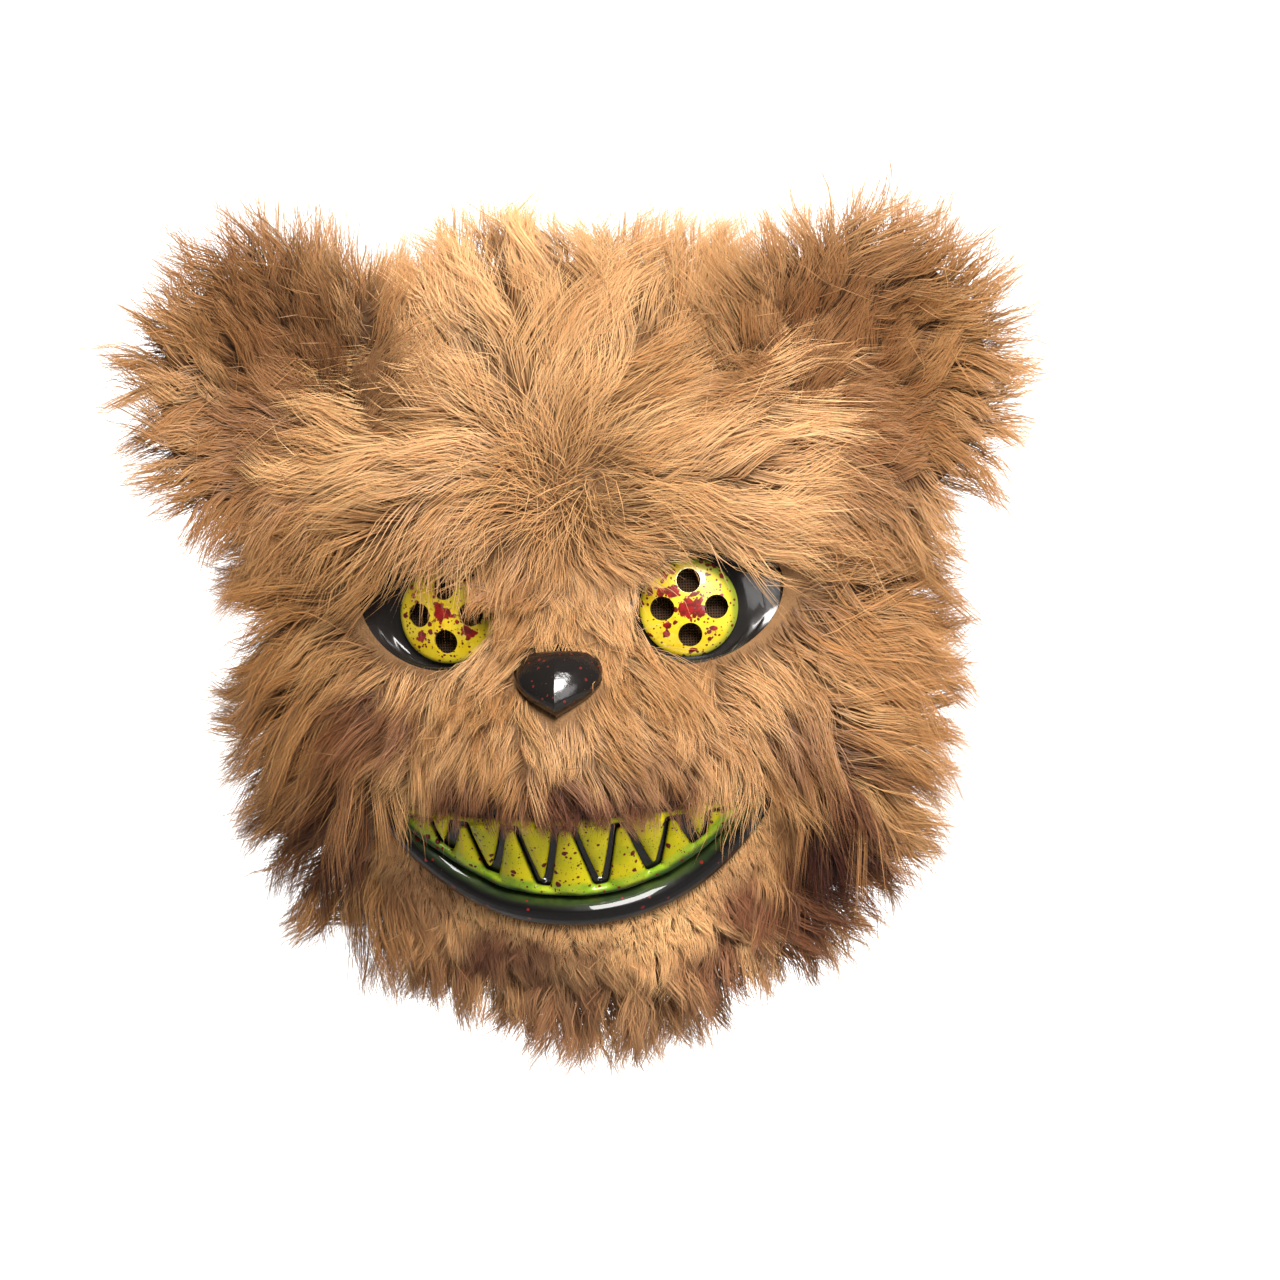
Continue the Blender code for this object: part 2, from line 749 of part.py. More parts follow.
def near_opening(place, room):
    """True within a margin of the openings of the fabric."""
    x, z = abs(place.x), place.z
    u = (x - EYE_X - SOCKET_OUTWARD) * math.cos(SOCKET_SLANT) + (z - SOCKET_UP) * math.sin(SOCKET_SLANT)
    v = (z - SOCKET_UP) * math.cos(SOCKET_SLANT) - (x - EYE_X - SOCKET_OUTWARD) * math.sin(SOCKET_SLANT)
    eye = (u / (SOCKET_HALF_WIDTH + room)) ** 2 + (v / (SOCKET_HALF_HEIGHT + room)) ** 2 < 1
    nose = (x / (NOSE_HALF_WIDTH + room)) ** 2 + ((z - NOSE_Z) / (NOSE_BELOW + room)) ** 2 < 1
    mouth = x < MOUTH_HALF_WIDTH + room and lip_z(x) - LIP_WIDTH / 2 - room < z < mouth_top_z(x) + room
    return eye or nose or mouth


def ear_frame(side):
    """Middle of the ear, the way that its hollow faces, and its two axes."""
    look = Vector((side * math.sin(EAR_TURN), -math.cos(EAR_TURN), 0))
    return Vector((side * EAR_X, EAR_Y, EAR_Z)), look, *axes_across(look)


def near_ear(place):
    centre, look, across, upward = ear_frame(RIGHT if place.x > 0 else LEFT)
    away = place - centre
    radius = math.hypot(away.dot(across), away.dot(upward))
    return radius < EAR_RADIUS + LOCK_THICKNESS and abs(away.dot(look)) < EAR_THICKNESS + EAR_CUP


def add_lock(bm, root, way, flat, length, width, thickness, bend):
    """A tapered lock: a four-sided spike that starts inside the pile and bends towards its tip."""
    across = way.cross(flat).normalized()
    flat = across.cross(way).normalized()
    sections = ((-LOCK_SINK, 1.0, 0.0), (0.55 * length, 0.72, 0.35))
    last = None
    for run, size, droop in sections:
        centre = root + way * run + bend * droop * length
        loop = add_loop(bm, [
            centre + across * width / 2 * size,
            centre + flat * thickness / 2 * size,
            centre - across * width / 2 * size,
            centre - flat * thickness / 2 * size,
        ])
        if last:
            bridge(bm, last, loop)
        else:
            bm.faces.new(loop)
        last = loop
    close_with_point(bm, last, root + way * length + bend * length)


def comb_at(place, normal):
    """The lie of the pile: away from a crown between the brows, along the surface."""
    away = place - face_place(0, COMB_CENTRE_Z)
    return (away - normal * away.dot(normal)).normalized()


def face_locks():
    """Locks in staggered rings over the whole face, clear of the openings and the ears."""
    bm = bmesh.new()
    rng = random.Random(7)
    share = 0.12
    while share <= 1:
        start, end = front_of(0, share), front_of(math.pi / 2, share)
        girth = 2 * math.pi * math.hypot(start.x, end.z - WIDEST_Z) / math.sqrt(2)
        count = max(round(girth / LOCK_SPACING), 5)
        shift = rng.random()
        for i in range(count):
            angle = 2 * math.pi * (i + shift + rng.uniform(-0.2, 0.2)) / count
            inward = min(share + rng.uniform(-0.02, 0.02), 0.985)
            place, normal = front_of(angle, inward), outward_at(angle, inward)
            if near_opening(place, LOCK_THICKNESS):
                continue
            comb = comb_at(place, normal)
            full = smooth((pile_at(place) - SHORT_PILE) / (PILE - SHORT_PILE))
            muzzle = smooth(1 - math.hypot(place.x / HALF_WIDTH, (place.z + 0.4 * MOUTH_HALF_WIDTH) / HALF_WIDTH) * 1.6)
            length = (SHORT_LOCK + (LOCK_LENGTH - SHORT_LOCK) * full * (1 - 0.75 * muzzle)) * rng.uniform(0.85, 1.1)
            way = (comb + normal * LOCK_LIFT * rng.uniform(0.85, 1.25)).normalized()
            side = way.cross(normal) * rng.uniform(-0.14, 0.14)
            root = place + normal * pile_at(place) * 0.55
            tip = root + way * length
            spots = (root, (root + tip) / 2, tip)
            if any(near_ear(spot) or near_opening(spot, 0) for spot in spots):
                continue
            width = LOCK_WIDTH * rng.uniform(0.85, 1.1) * (0.6 + 0.4 * length / LOCK_LENGTH)
            add_lock(bm, root, way, normal, length, width, LOCK_THICKNESS, side + comb * 0.04)
        share += 0.105 if share < 0.8 else 0.075
    return add_helper("face_locks", bm)


def cut_openings(cover):
    """The four cut-outs in the fabric, and the pockets over the rivets."""
    reach = SIDE_DEPTH / 2
    for side in (LEFT, RIGHT):
        bm = bmesh.new()
        add_prism(bm, socket_outline(side, CUT_MARGIN, OPENING_STEPS), eye_frame(side)[1], reach)
        boolean(cover, "DIFFERENCE", add_helper(f"eye_opening_{SIDE_NAMES[side]}", bm))
        pocket = rivet_hole("pocket", side, RIVET_HEAD_RADIUS + RUNNING_GAP, -WALL, RIVET_HEAD + 3 * RUNNING_GAP)
        boolean(cover, "DIFFERENCE", pocket)
    openings = (
        ("nose_opening", nose_outline(CUT_MARGIN), nose_look()),
        ("mouth_opening", mouth_outline(), FORWARD),
    )
    for name, outline, axis in openings:
        bm = bmesh.new()
        add_prism(bm, outline, axis, reach)
        boolean(cover, "DIFFERENCE", add_helper(name, bm))


def fur_cover(material):
    """The fur fabric over the shell, with its locks and its openings."""
    cover = add_object("fur_cover", face_wall(lambda p: -WALL, pile_at), material, 60)
    boolean(cover, "UNION", face_locks(), crossing=True)
    boolean(cover, "DIFFERENCE", face_block("shell_clearance", lambda p: SEAT_GAP))
    cut_openings(cover)


# Ears

def ear_height(share):
    """The cupped middle surface of the ear, ahead of its centre, and half its thickness."""
    return -EAR_CUP * (1 - share**2), EAR_THICKNESS / 2 * (1 - share**4) ** 0.5


def ear_body(side, material):
    bm = bmesh.new()
    centre, look, across, upward = ear_frame(side)
    rim = add_loop(bm, circle_points(centre, across, upward, EAR_RADIUS, EAR_SIDES))
    for face in (-1, 1):
        last = rim
        for ring in range(EAR_RINGS - 1, 0, -1):
            share = math.sin(math.pi / 2 * ring / EAR_RINGS)
            middle, half = ear_height(share)
            place = centre + look * (middle + face * half)
            loop = add_loop(bm, circle_points(place, across, upward, EAR_RADIUS * share, EAR_SIDES))
            bridge(bm, last, loop)
            last = loop
        middle, half = ear_height(0)
        close_with_point(bm, last, centre + look * (middle + face * half))
    return add_object(f"ear_{SIDE_NAMES[side]}", bm, material, 60)


def ear_locks(side):
    """A fringe of locks round the ear, and shorter rows on its two faces."""
    bm = bmesh.new()
    rng = random.Random(20 + side)
    centre, look, across, upward = ear_frame(side)
    for row in EAR_ROWS:
        for i in range(row.count):
            turn = 2 * math.pi * (i + rng.uniform(-0.2, 0.2)) / row.count
            radial = across * math.cos(turn) + upward * math.sin(turn)
            middle, half = ear_height(row.radius)
            root = centre + radial * EAR_RADIUS * row.radius + look * (middle + row.face * half * 0.6)
            length = EAR_LOCK_LENGTH * row.length * rng.uniform(0.85, 1.1)
            way = (radial + look * (row.lift + rng.uniform(-0.12, 0.12))).normalized()
            if rim_share(root.x, root.z)[0] < 1.06 or rim_share(*(root + way * length).xz)[0] < 1.12:
                continue
            bend = (way.cross(look) * rng.uniform(-0.2, 0.2)) * 0.6
            add_lock(bm, root, way, look, length, EAR_LOCK_WIDTH, LOCK_THICKNESS, bend)
    return add_helper(f"ear_locks_{SIDE_NAMES[side]}", bm)


# Strap

def strap_path():
    """The middle line of the band, from one tail, round the head, to the other tail."""
    inset = WALL + STRAP_INSET + STRAP_THICKNESS / 2
    angle = temple_angle(RIGHT)
    side_points = [
        front_of(angle, share) - outward_at(angle, share) * inset for share in (*TAIL_SHARES, ANCHOR_SHARE)
    ]
    side_points = [Vector((point.x, point.y, ANCHOR_Z)) for point in side_points]
    end = side_points[-1]
    sweep = []
    for step in range(1, STRAP_STEPS):
        turn = math.pi * step / STRAP_STEPS
        sweep.append(Vector((
            end.x * math.cos(turn),
            end.y + (STRAP_BACK_Y - end.y) * math.sin(turn) ** 0.9,
            ANCHOR_Z,
        )))
    mirrored = [Vector((-point.x, point.y, point.z)) for point in reversed(side_points)]
    return [*side_points, *sweep, *mirrored]


def strap(material):
    """A flat elastic band, whose ends lie inside the shell's side walls."""
    path = strap_path()
    bm = bmesh.new()
    last = None
    for i, place in enumerate(path):
        along = (path[min(i + 1, len(path) - 1)] - path[max(i - 1, 0)]).normalized()
        outward = along.cross(UP).normalized()
        half_up, half_out = UP * STRAP_WIDTH / 2, outward * STRAP_THICKNESS / 2
        loop = add_loop(bm, [
            place + half_up + half_out,
            place - half_up + half_out,
            place - half_up - half_out,
            place + half_up - half_out,
        ])
        if last:
            bridge(bm, last, loop)
        else:
            bm.faces.new(loop)
        last = loop
    bm.faces.new(last)
    band = add_object("strap", bm, material, 60)
    for side in (LEFT, RIGHT):
        hole = rivet_hole("strap_hole", side, RIVET_RADIUS + RUNNING_GAP, -8 * WALL, 0)
        boolean(band, "DIFFERENCE", hole)


def strap_rivet(side, material):
    """A round shank through shell and band, with a flat head on each side."""
    place, normal = strap_anchor(side)
    inner = -(WALL + STRAP_INSET + STRAP_THICKNESS + 3 * RUNNING_GAP)
    outer = 2 * RUNNING_GAP
    across, upward = axes_across(normal)
    bm = bmesh.new()
    stations = (
        (inner - RIVET_HEAD, RIVET_HEAD_RADIUS),
        (inner, RIVET_HEAD_RADIUS),
        (inner, RIVET_RADIUS),
        (outer, RIVET_RADIUS),
        (outer, RIVET_HEAD_RADIUS),
        (outer + RIVET_HEAD, RIVET_HEAD_RADIUS),
    )
    last = None
    for along, radius in stations:
        loop = add_loop(bm, circle_points(place + normal * along, across, upward, radius, RIVET_SIDES))
        if last:
            bridge(bm, last, loop)
        else:
            bm.faces.new(loop)
        last = loop
    bm.faces.new(last)
    add_object(f"strap_rivet_{SIDE_NAMES[side]}", bm, material, 40)


def build_mask():
    black = finish_material("black gloss shell", (0.02, 0.016, 0.014), 0.25)
    yellow = finish_material("yellow paint", (0.75, 0.6, 0.03), 0.3)
    green = finish_material("green lip paint", (0.25, 0.35, 0.03), 0.25)
    gauze = finish_material("black gauze", (0.012, 0.01, 0.01), 0.9)
    fur = finish_material("brown fur", (0.5, 0.27, 0.12), 0.9)
    elastic = finish_material("black elastic", (0.02, 0.02, 0.02), 0.8)
    steel = finish_material("plated steel", (0.6, 0.6, 0.6), 0.3)
    clear_scene()
    seat = seat_cutter()
    clear = face_block("cover_clearance", lambda p: PILE + 2 * SEAT_GAP)
    face_shell(black)
    for side in (LEFT, RIGHT):
        eye_disc(side, yellow)
        eye_gauze(side, gauze)
    nose_pad(black, seat)
    lower_lip(green, seat)
    lower_teeth(yellow, seat)
    upper_teeth(yellow, seat)
    fur_cover(fur)
    for side in (LEFT, RIGHT):
        ear = ear_body(side, fur)
        boolean(ear, "UNION", ear_locks(side), crossing=True)
        boolean(ear, "DIFFERENCE", clear)
        strap_rivet(side, steel)
    strap(elastic)


build_mask()
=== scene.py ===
"""The plush bear mask, dressed for its render: shell, eyes, nose, grin, fur, ears and strap."""

import json
import math

import bpy
import numpy as np
from mathutils import Matrix, Vector, kdtree

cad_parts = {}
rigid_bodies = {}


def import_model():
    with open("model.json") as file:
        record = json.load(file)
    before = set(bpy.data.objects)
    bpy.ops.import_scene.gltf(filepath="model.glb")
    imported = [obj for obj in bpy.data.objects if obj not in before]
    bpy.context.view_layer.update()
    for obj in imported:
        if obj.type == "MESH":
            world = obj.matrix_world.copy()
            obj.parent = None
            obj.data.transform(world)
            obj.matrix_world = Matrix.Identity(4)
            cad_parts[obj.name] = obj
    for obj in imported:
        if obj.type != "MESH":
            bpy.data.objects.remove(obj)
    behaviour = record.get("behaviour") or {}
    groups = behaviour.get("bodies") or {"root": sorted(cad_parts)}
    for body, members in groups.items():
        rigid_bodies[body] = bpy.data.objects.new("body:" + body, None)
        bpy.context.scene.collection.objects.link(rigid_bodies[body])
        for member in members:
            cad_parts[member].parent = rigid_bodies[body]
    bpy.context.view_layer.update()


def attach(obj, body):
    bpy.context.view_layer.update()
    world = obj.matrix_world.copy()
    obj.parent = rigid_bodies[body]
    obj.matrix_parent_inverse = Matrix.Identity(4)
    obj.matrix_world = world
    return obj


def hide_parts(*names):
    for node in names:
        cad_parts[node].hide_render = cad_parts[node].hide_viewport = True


for left_over in list(bpy.data.objects):
    bpy.data.objects.remove(left_over, do_unlink=True)
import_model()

# The face shell: one thermoformed sheet of black plastic, 1.5 mm thick, that carries the whole
# mask. Its gloss shows in the eye sockets and in the mouth, and the plain back faces the wearer.

MM = 0.001
HALF_WIDTH = 86 * MM
WIDEST_Z = -22 * MM
CROWN_Z = 94 * MM
CHIN_Z = -108 * MM
SIDE_DEPTH, CROWN_DEPTH, CHIN_DEPTH = 62 * MM, 44 * MM, 46 * MM
CROWN_SQUARENESS, CHIN_SQUARENESS = 2.6, 2.1
DOME_FULLNESS = 2.3
FACE_HEIGHT = CROWN_Z - CHIN_Z
SHELL_WALL = 1.5 * MM

# Swellings of the moulded face: across, up, half width, half height, rise and flatness, as shares
SWELLINGS = {
    "bridge": (0.00, 0.005, 0.15, 0.110, 0.10, 1.0),
    "brow": (0.37, 0.130, 0.36, 0.075, 0.12, 1.0),
    "muzzle": (0.00, -0.200, 0.52, 0.160, 0.42, 1.3),
    "cheek": (0.68, -0.195, 0.26, 0.130, 0.14, 1.0),
    "chin": (0.00, -0.440, 0.36, 0.085, 0.16, 1.0),
}


def rim_share(x, z):
    """0 at the middle of the face to 1 at its rim, and how much of that lies up or down."""
    up = z - WIDEST_Z
    tall = np.where(up > 0, CROWN_Z - WIDEST_Z, WIDEST_Z - CHIN_Z)
    square = np.where(up > 0, CROWN_SQUARENESS, CHIN_SQUARENESS)
    across = np.abs(x / HALF_WIDTH) ** square
    along = np.abs(up / tall) ** square
    total = across + along
    return total ** (1 / square), along / np.maximum(total, 1e-9)


def face_forward(x, z):
    """How far forward the moulded face stands at x, z."""
    share, upright = rim_share(x, z)
    end = np.where(z > WIDEST_Z, CROWN_DEPTH, CHIN_DEPTH)
    depth = SIDE_DEPTH + (end - SIDE_DEPTH) * upright
    hollow = np.maximum(1 - share**DOME_FULLNESS, 0) ** (1 / DOME_FULLNESS)
    forward = -depth * (1 - hollow)
    for across, up, wide, tall, rise, flatness in SWELLINGS.values():
        u = (np.abs(x) / HALF_WIDTH - across) / wide
        v = (z / FACE_HEIGHT - up) / tall
        forward = forward + rise * SIDE_DEPTH * np.exp(-((u**2 + v**2) ** flatness))
    return forward


SEAT_FORWARD = float(face_forward(0.0, 0.0)) - SHELL_WALL


def on_face(x, z):
    """Points of the shell's outer surface at x, z."""
    x, z = np.broadcast_arrays(np.asarray(x, float), np.asarray(z, float))
    return np.stack([x, SEAT_FORWARD - face_forward(x, z), z], axis=-1)


def unit(v):
    return v / np.maximum(np.linalg.norm(v, axis=-1, keepdims=True), 1e-12)


def normal_at(x, z):
    """Outward normals well inside the rim."""
    step = 0.5 * MM
    slope_x = (face_forward(x + step, z) - face_forward(x - step, z)) / (2 * step)
    slope_z = (face_forward(x, z + step) - face_forward(x, z - step)) / (2 * step)
    return unit(np.stack([-slope_x, -np.ones_like(slope_x), -slope_z], axis=-1))


def round_face(angle, share):
    """Points of the surface: angle runs round the face, and share from its middle to its rim."""
    out = np.sin(np.clip(share, 0, 1) * math.pi / 2) ** (2 / DOME_FULLNESS)
    rise, run = np.sin(angle), np.cos(angle)
    power = 2 / np.where(rise > 0, CROWN_SQUARENESS, CHIN_SQUARENESS)
    tall = np.where(rise > 0, CROWN_Z - WIDEST_Z, WIDEST_Z - CHIN_Z)
    x = out * HALF_WIDTH * np.copysign(np.abs(run) ** power, run)
    z = WIDEST_Z + out * tall * np.copysign(np.abs(rise) ** power, rise)
    return on_face(x, z)


def round_normal(angle, share):
    """Outward normals of the surface, good out to the rim."""
    step = 0.004
    angle = np.where(share < 1e-6, 0.0, angle)
    along = round_face(angle, np.minimum(share + step, 1)) - round_face(angle, np.maximum(share - step, 0))
    ring = np.maximum(share, step)
    sideways = round_face(angle + step, ring) - round_face(angle - step, ring)
    return unit(np.cross(along, sideways))


def deselect():
    bpy.ops.object.select_all(action="DESELECT")


def select_only(*objs):
    """Selects these objects alone, with the first of them active."""
    deselect()
    for obj in objs:
        obj.select_set(True)
    bpy.context.view_layer.objects.active = objs[0]


def vertex_places(obj):
    co = np.empty(len(obj.data.vertices) * 3)
    obj.data.vertices.foreach_get("co", co)
    return co.reshape(-1, 3)


def move_vertices(obj, co):
    obj.data.vertices.foreach_set("co", np.ascontiguousarray(co).ravel())
    obj.data.update()


def store(obj, name, values):
    """Keeps one value per vertex, for the paint to read."""
    obj.data.attributes.new(name, "FLOAT", "POINT").data.foreach_set("value", values)


def ring_way(turn, across, upward):
    """The directions that a turn points in, between two axes."""
    return np.cos(turn)[:, None] * across + np.sin(turn)[:, None] * upward


def clean_up(obj, outward=True):
    """Merges doubles, and turns the faces of a closed form outwards."""
    select_only(obj)
    bpy.ops.object.mode_set(mode="EDIT")
    bpy.ops.mesh.select_all(action="SELECT")
    bpy.ops.mesh.remove_doubles(threshold=1e-6)
    if outward:
        bpy.ops.mesh.normals_make_consistent(inside=False)
    bpy.ops.object.mode_set(mode="OBJECT")


def new_grid(name, columns, rows):
    """A flat grid to be shaped, and how far across and along it each vertex lies, from 0 to 1."""
    deselect()
    bpy.ops.mesh.primitive_grid_add(x_subdivisions=columns, y_subdivisions=rows, size=1)
    obj = bpy.context.active_object
    obj.name = obj.data.name = name
    return obj, vertex_places(obj) + 0.5


def rolled_disc(name, columns, rings, place):
    """A grid rolled into a disc: place gives each vertex from its turn and its share of the radius."""
    obj, grid = new_grid(name, columns, rings)
    move_vertices(obj, place(grid[:, 0] * 2 * math.pi, grid[:, 1]))
    clean_up(obj, outward=False)
    return obj


def apply_modifier(obj, kind, **settings):
    select_only(obj)
    modifier = obj.modifiers.new(kind.lower(), kind)
    for key, value in settings.items():
        setattr(modifier, key, value)
    bpy.ops.object.modifier_apply(modifier=modifier.name)


def smooth_by_angle(obj, degrees):
    select_only(obj)
    bpy.ops.object.shade_smooth_by_angle(angle=math.radians(degrees))


def delete_vertices(obj, gone):
    """Cuts away the vertices that a mask names."""
    select_only(obj)
    bpy.ops.object.mode_set(mode="EDIT")
    bpy.ops.mesh.select_mode(type="VERT")
    bpy.ops.mesh.select_all(action="DESELECT")
    bpy.ops.object.mode_set(mode="OBJECT")
    obj.data.vertices.foreach_set("select", gone)
    bpy.ops.object.mode_set(mode="EDIT")
    bpy.ops.mesh.delete(type="VERT")
    bpy.ops.object.mode_set(mode="OBJECT")


def close_ends(obj, fill, **settings):
    """Closes the open edges of a form with the given operator."""
    select_only(obj)
    bpy.ops.object.mode_set(mode="EDIT")
    bpy.ops.mesh.select_all(action="DESELECT")
    bpy.ops.mesh.select_non_manifold()
    fill(**settings)
    bpy.ops.object.mode_set(mode="OBJECT")
    clean_up(obj)


def discard(*objs):
    for obj in objs:
        bpy.data.objects.remove(obj, do_unlink=True)


class Wire:
    """A shader socket that takes part in Python arithmetic."""

    def __init__(self, finish, socket):
        self.finish, self.socket = finish, socket

    def sums(self, operation, *others, flip=False):
        values = [self, *others]
        return self.finish.maths(operation, *(reversed(values) if flip else values))

    def __add__(self, other):
        return self.sums("ADD", other)

    def __radd__(self, other):
        return self.sums("ADD", other)

    def __sub__(self, other):
        return self.sums("SUBTRACT", other)

    def __rsub__(self, other):
        return self.sums("SUBTRACT", other, flip=True)

    def __mul__(self, other):
        return self.sums("MULTIPLY", other)

    def __rmul__(self, other):
        return self.sums("MULTIPLY", other)

    def within(self, low, high):
        """0 below low to 1 above high, eased."""
        return self.finish.node(
            "ShaderNodeMapRange", {"interpolation_type": "SMOOTHSTEP"}, self,
            **{"From Min": low, "From Max": high},
        )


class Finish:
    """A material under construction, with one way to add a node."""

    def __init__(self, name, **settings):
        self.material = bpy.data.materials.new(name)
        self.material.use_nodes = True
        self.tree = self.material.node_tree
        self.shader = self.tree.nodes["Principled BSDF"]
        for socket, value in settings.items():
            self.shader.inputs[socket.replace("_", " ")].default_value = value

    def node(self, kind, settings=None, *values, output=0, **named):
        made = self.tree.nodes.new(kind)
        for key, value in (settings or {}).items():
            setattr(made, key, value)
        for key, value in [*enumerate(values), *named.items()]:
            self.join(made.inputs[key], value)
        return Wire(self, made.outputs[output])

    def join(self, socket, value):
        if isinstance(value, Wire):
            self.tree.links.new(value.socket, socket)
        elif isinstance(value, tuple) and len(value) == 3 and socket.type == "RGBA":
            socket.default_value = (*value, 1)
        else:
            socket.default_value = value

    def set(self, socket, value):
        self.join(self.shader.inputs[socket], value)

    def colour(self, share, first, second):
        """The piece's colour, blended from two by a share."""
        self.set("Base Color", self.blend(share, first, second))

    def maths(self, operation, *values):
        return self.node("ShaderNodeMath", {"operation": operation}, *values)

    def vectors(self, operation, *values, output=0):
        return self.node("ShaderNodeVectorMath", {"operation": operation}, *values, output=output)

    def attribute(self, name, output="Fac"):
        return self.node("ShaderNodeAttribute", {"attribute_name": name}, output=output)

    def place(self):
        return self.node("ShaderNodeTexCoord", output="Object")

    def blotches(self, scale, detail=4.0, offset=(0, 0, 0)):
        spot = self.node("ShaderNodeMapping", None, self.place(), Location=offset)
        return self.node("ShaderNodeTexNoise", None, spot, Scale=scale, Detail=detail, output="Fac")

    def blend(self, share, first, second):
        made = self.tree.nodes.new("ShaderNodeMix")
        made.data_type = "RGBA"
        self.join(made.inputs[0], share)
        self.join(made.inputs[6], first)
        self.join(made.inputs[7], second)
        return Wire(self, made.outputs[2])

    def bump(self, height, distance, strength=1.0):
        made = self.node("ShaderNodeBump", None, Height=height, Distance=distance, Strength=strength)
        self.set("Normal", made)


def add_piece(obj, slot, *nodes, finish=None):
    """Files a finished piece: its material, its body and the CAD nodes that it stands for; slot is not used.
    """
    if finish:
        obj.data.materials.clear()
        obj.data.materials.append(finish.material)
    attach(obj, "root")
    if nodes:
        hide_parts(*nodes)


EYE_X = 34 * MM
EYE_RADIUS = 13.5 * MM
EYE_TURN = math.radians(9)
EYE_SET_BACK = 5.5 * MM
SOCKET_LAND = 2.2 * MM
SOCKET_HALF_WIDTH, SOCKET_HALF_HEIGHT = 22.5 * MM, 15 * MM
SOCKET_OUTWARD, SOCKET_UP = 6 * MM, 1.5 * MM
SOCKET_SLANT = math.radians(20)
LEFT, RIGHT = -1, 1
SIDES = {LEFT: "left", RIGHT: "right"}


def eye_frame(side):
    """Middle of the socket's floor, the way the eye looks, and the two axes across it."""
    look = np.array([side * math.sin(EYE_TURN), -math.cos(EYE_TURN), 0.0])
    across = np.array([-look[1], look[0], 0.0])
    return on_face(side * EYE_X, 0.0) - look * EYE_SET_BACK, look, across, np.array([0.0, 0.0, 1.0])


def socket_edge(side, turn, grow=0.0):
    """x, z of the slanted oval that the socket opens in."""
    wide, tall = SOCKET_HALF_WIDTH + grow, SOCKET_HALF_HEIGHT + grow
    local = turn if side == RIGHT else math.pi - turn
    lean = local - SOCKET_SLANT
    radius = wide * tall / np.hypot(tall * np.cos(lean), wide * np.sin(lean))
    return side * (EYE_X + SOCKET_OUTWARD + radius * np.cos(local)), SOCKET_UP + radius * np.sin(local)


def socket_body(name, side, grow, sink, floor_back, out):
    """A closed cup, from its round floor to its oval mouth, with shallow steps in its wall."""
    place, look, across, upward = eye_frame(side)

    def shape(turn, share):
        x, z = socket_edge(side, turn, grow)
        rim = on_face(x, z) - normal_at(x, z) * sink
        radius = EYE_RADIUS + SOCKET_LAND + grow
        floor = place - look * floor_back
        ring = floor + radius * ring_way(turn, across, upward)
        up = np.clip((share - 0.25) / 0.5, 0, 1)[:, None]
        step = (np.sin(up * 3 * 2 * math.pi) * 0.35 * MM) * np.sin(up * math.pi)
        wall = ring + (rim - ring) * up + step * ring_way(turn, across, upward)
        inner = floor + (ring - floor) * np.clip(share / 0.25, 0, 1)[:, None]
        front = rim + look * out * np.clip((share - 0.75) / 0.15, 0, 1)[:, None]
        middle = on_face(side * (EYE_X + SOCKET_OUTWARD), SOCKET_UP) + look * (out - sink)
        cap = front + (middle - front) * np.clip((share - 0.9) / 0.1, 0, 1)[:, None]
        low, high = (share <= 0.25)[:, None], (share >= 0.75)[:, None]
        return np.where(low, inner, np.where(high, cap, wall))

    cup = rolled_disc(f"{name}_{SIDES[side]}", 72, 40, shape)
    clean_up(cup)
    return cup


def drill(obj, place, axis, radius, depth, sides=64):
    """Bores a round hole through a piece."""
    deselect()
    bpy.ops.mesh.primitive_cylinder_add(vertices=sides, radius=radius, depth=depth)
    bore = bpy.context.active_object
    bore.rotation_euler = Vector(axis).to_track_quat("Z", "Y").to_euler()
    bore.location = place
    apply_modifier(obj, "BOOLEAN", object=bore, operation="DIFFERENCE", solver="EXACT")
    discard(bore)


ANCHOR_Z, ANCHOR_SHARE = 8 * MM, 0.90
RIVET_RADIUS = 1.5 * MM


def temple_angle(side):
    angle = math.asin(((ANCHOR_Z - WIDEST_Z) / (CROWN_Z - WIDEST_Z)) ** (CROWN_SQUARENESS / 2))
    return angle if side == RIGHT else math.pi - angle


def strap_anchor(side):
    """Where the rivet passes through the shell's side wall, and the wall's normal there."""
    angle = temple_angle(side)
    return round_face(angle, ANCHOR_SHARE), round_normal(angle, ANCHOR_SHARE)


SEAT_GAP = 0.3 * MM
MOUTH_HALF_WIDTH = 55 * MM
MOUTH_CORNER_Z, LIP_LOW_Z = -49 * MM, -81 * MM
MOUTH_TOP_Z, MOUTH_TOP_ARCH = -54 * MM, 5 * MM
LIP_CURVE = 2.3
LIP_WIDTH, LIP_RISE = 7.5 * MM, 5 * MM
GUM_HEIGHT, GUM_RISE = 2.2 * MM, 1.6 * MM
TEETH_ACROSS = 47 * MM
TOOTH_RISE, TOOTH_GROOVE = 3 * MM, 2.4 * MM
FANG_X = [15.5 * MM * (i + 0.5) * (1 - 0.055 * i) for i in range(3)]
BREATH_RADIUS = 0.8 * MM


def lip_z(x):
    return LIP_LOW_Z + (MOUTH_CORNER_Z - LIP_LOW_Z) * np.abs(x / MOUTH_HALF_WIDTH) ** LIP_CURVE


def lip_frame(x):
    """How slim the lip is at x, and the x and z of the way across it."""
    share = np.abs(x / MOUTH_HALF_WIDTH)
    slope = np.copysign(
        (MOUTH_CORNER_Z - LIP_LOW_Z) / MOUTH_HALF_WIDTH * LIP_CURVE * share ** (LIP_CURVE - 1), x
    )
    size = np.sqrt(1 + slope**2)
    return 1 - 0.55 * share**4, -slope / size, 1 / size


def gum_z(x):
    """The top of the green gum above the lip."""
    slim, _, upward = lip_frame(x)
    return lip_z(x) + 2 * SEAT_GAP + slim * (LIP_WIDTH / 2 + GUM_HEIGHT) / upward


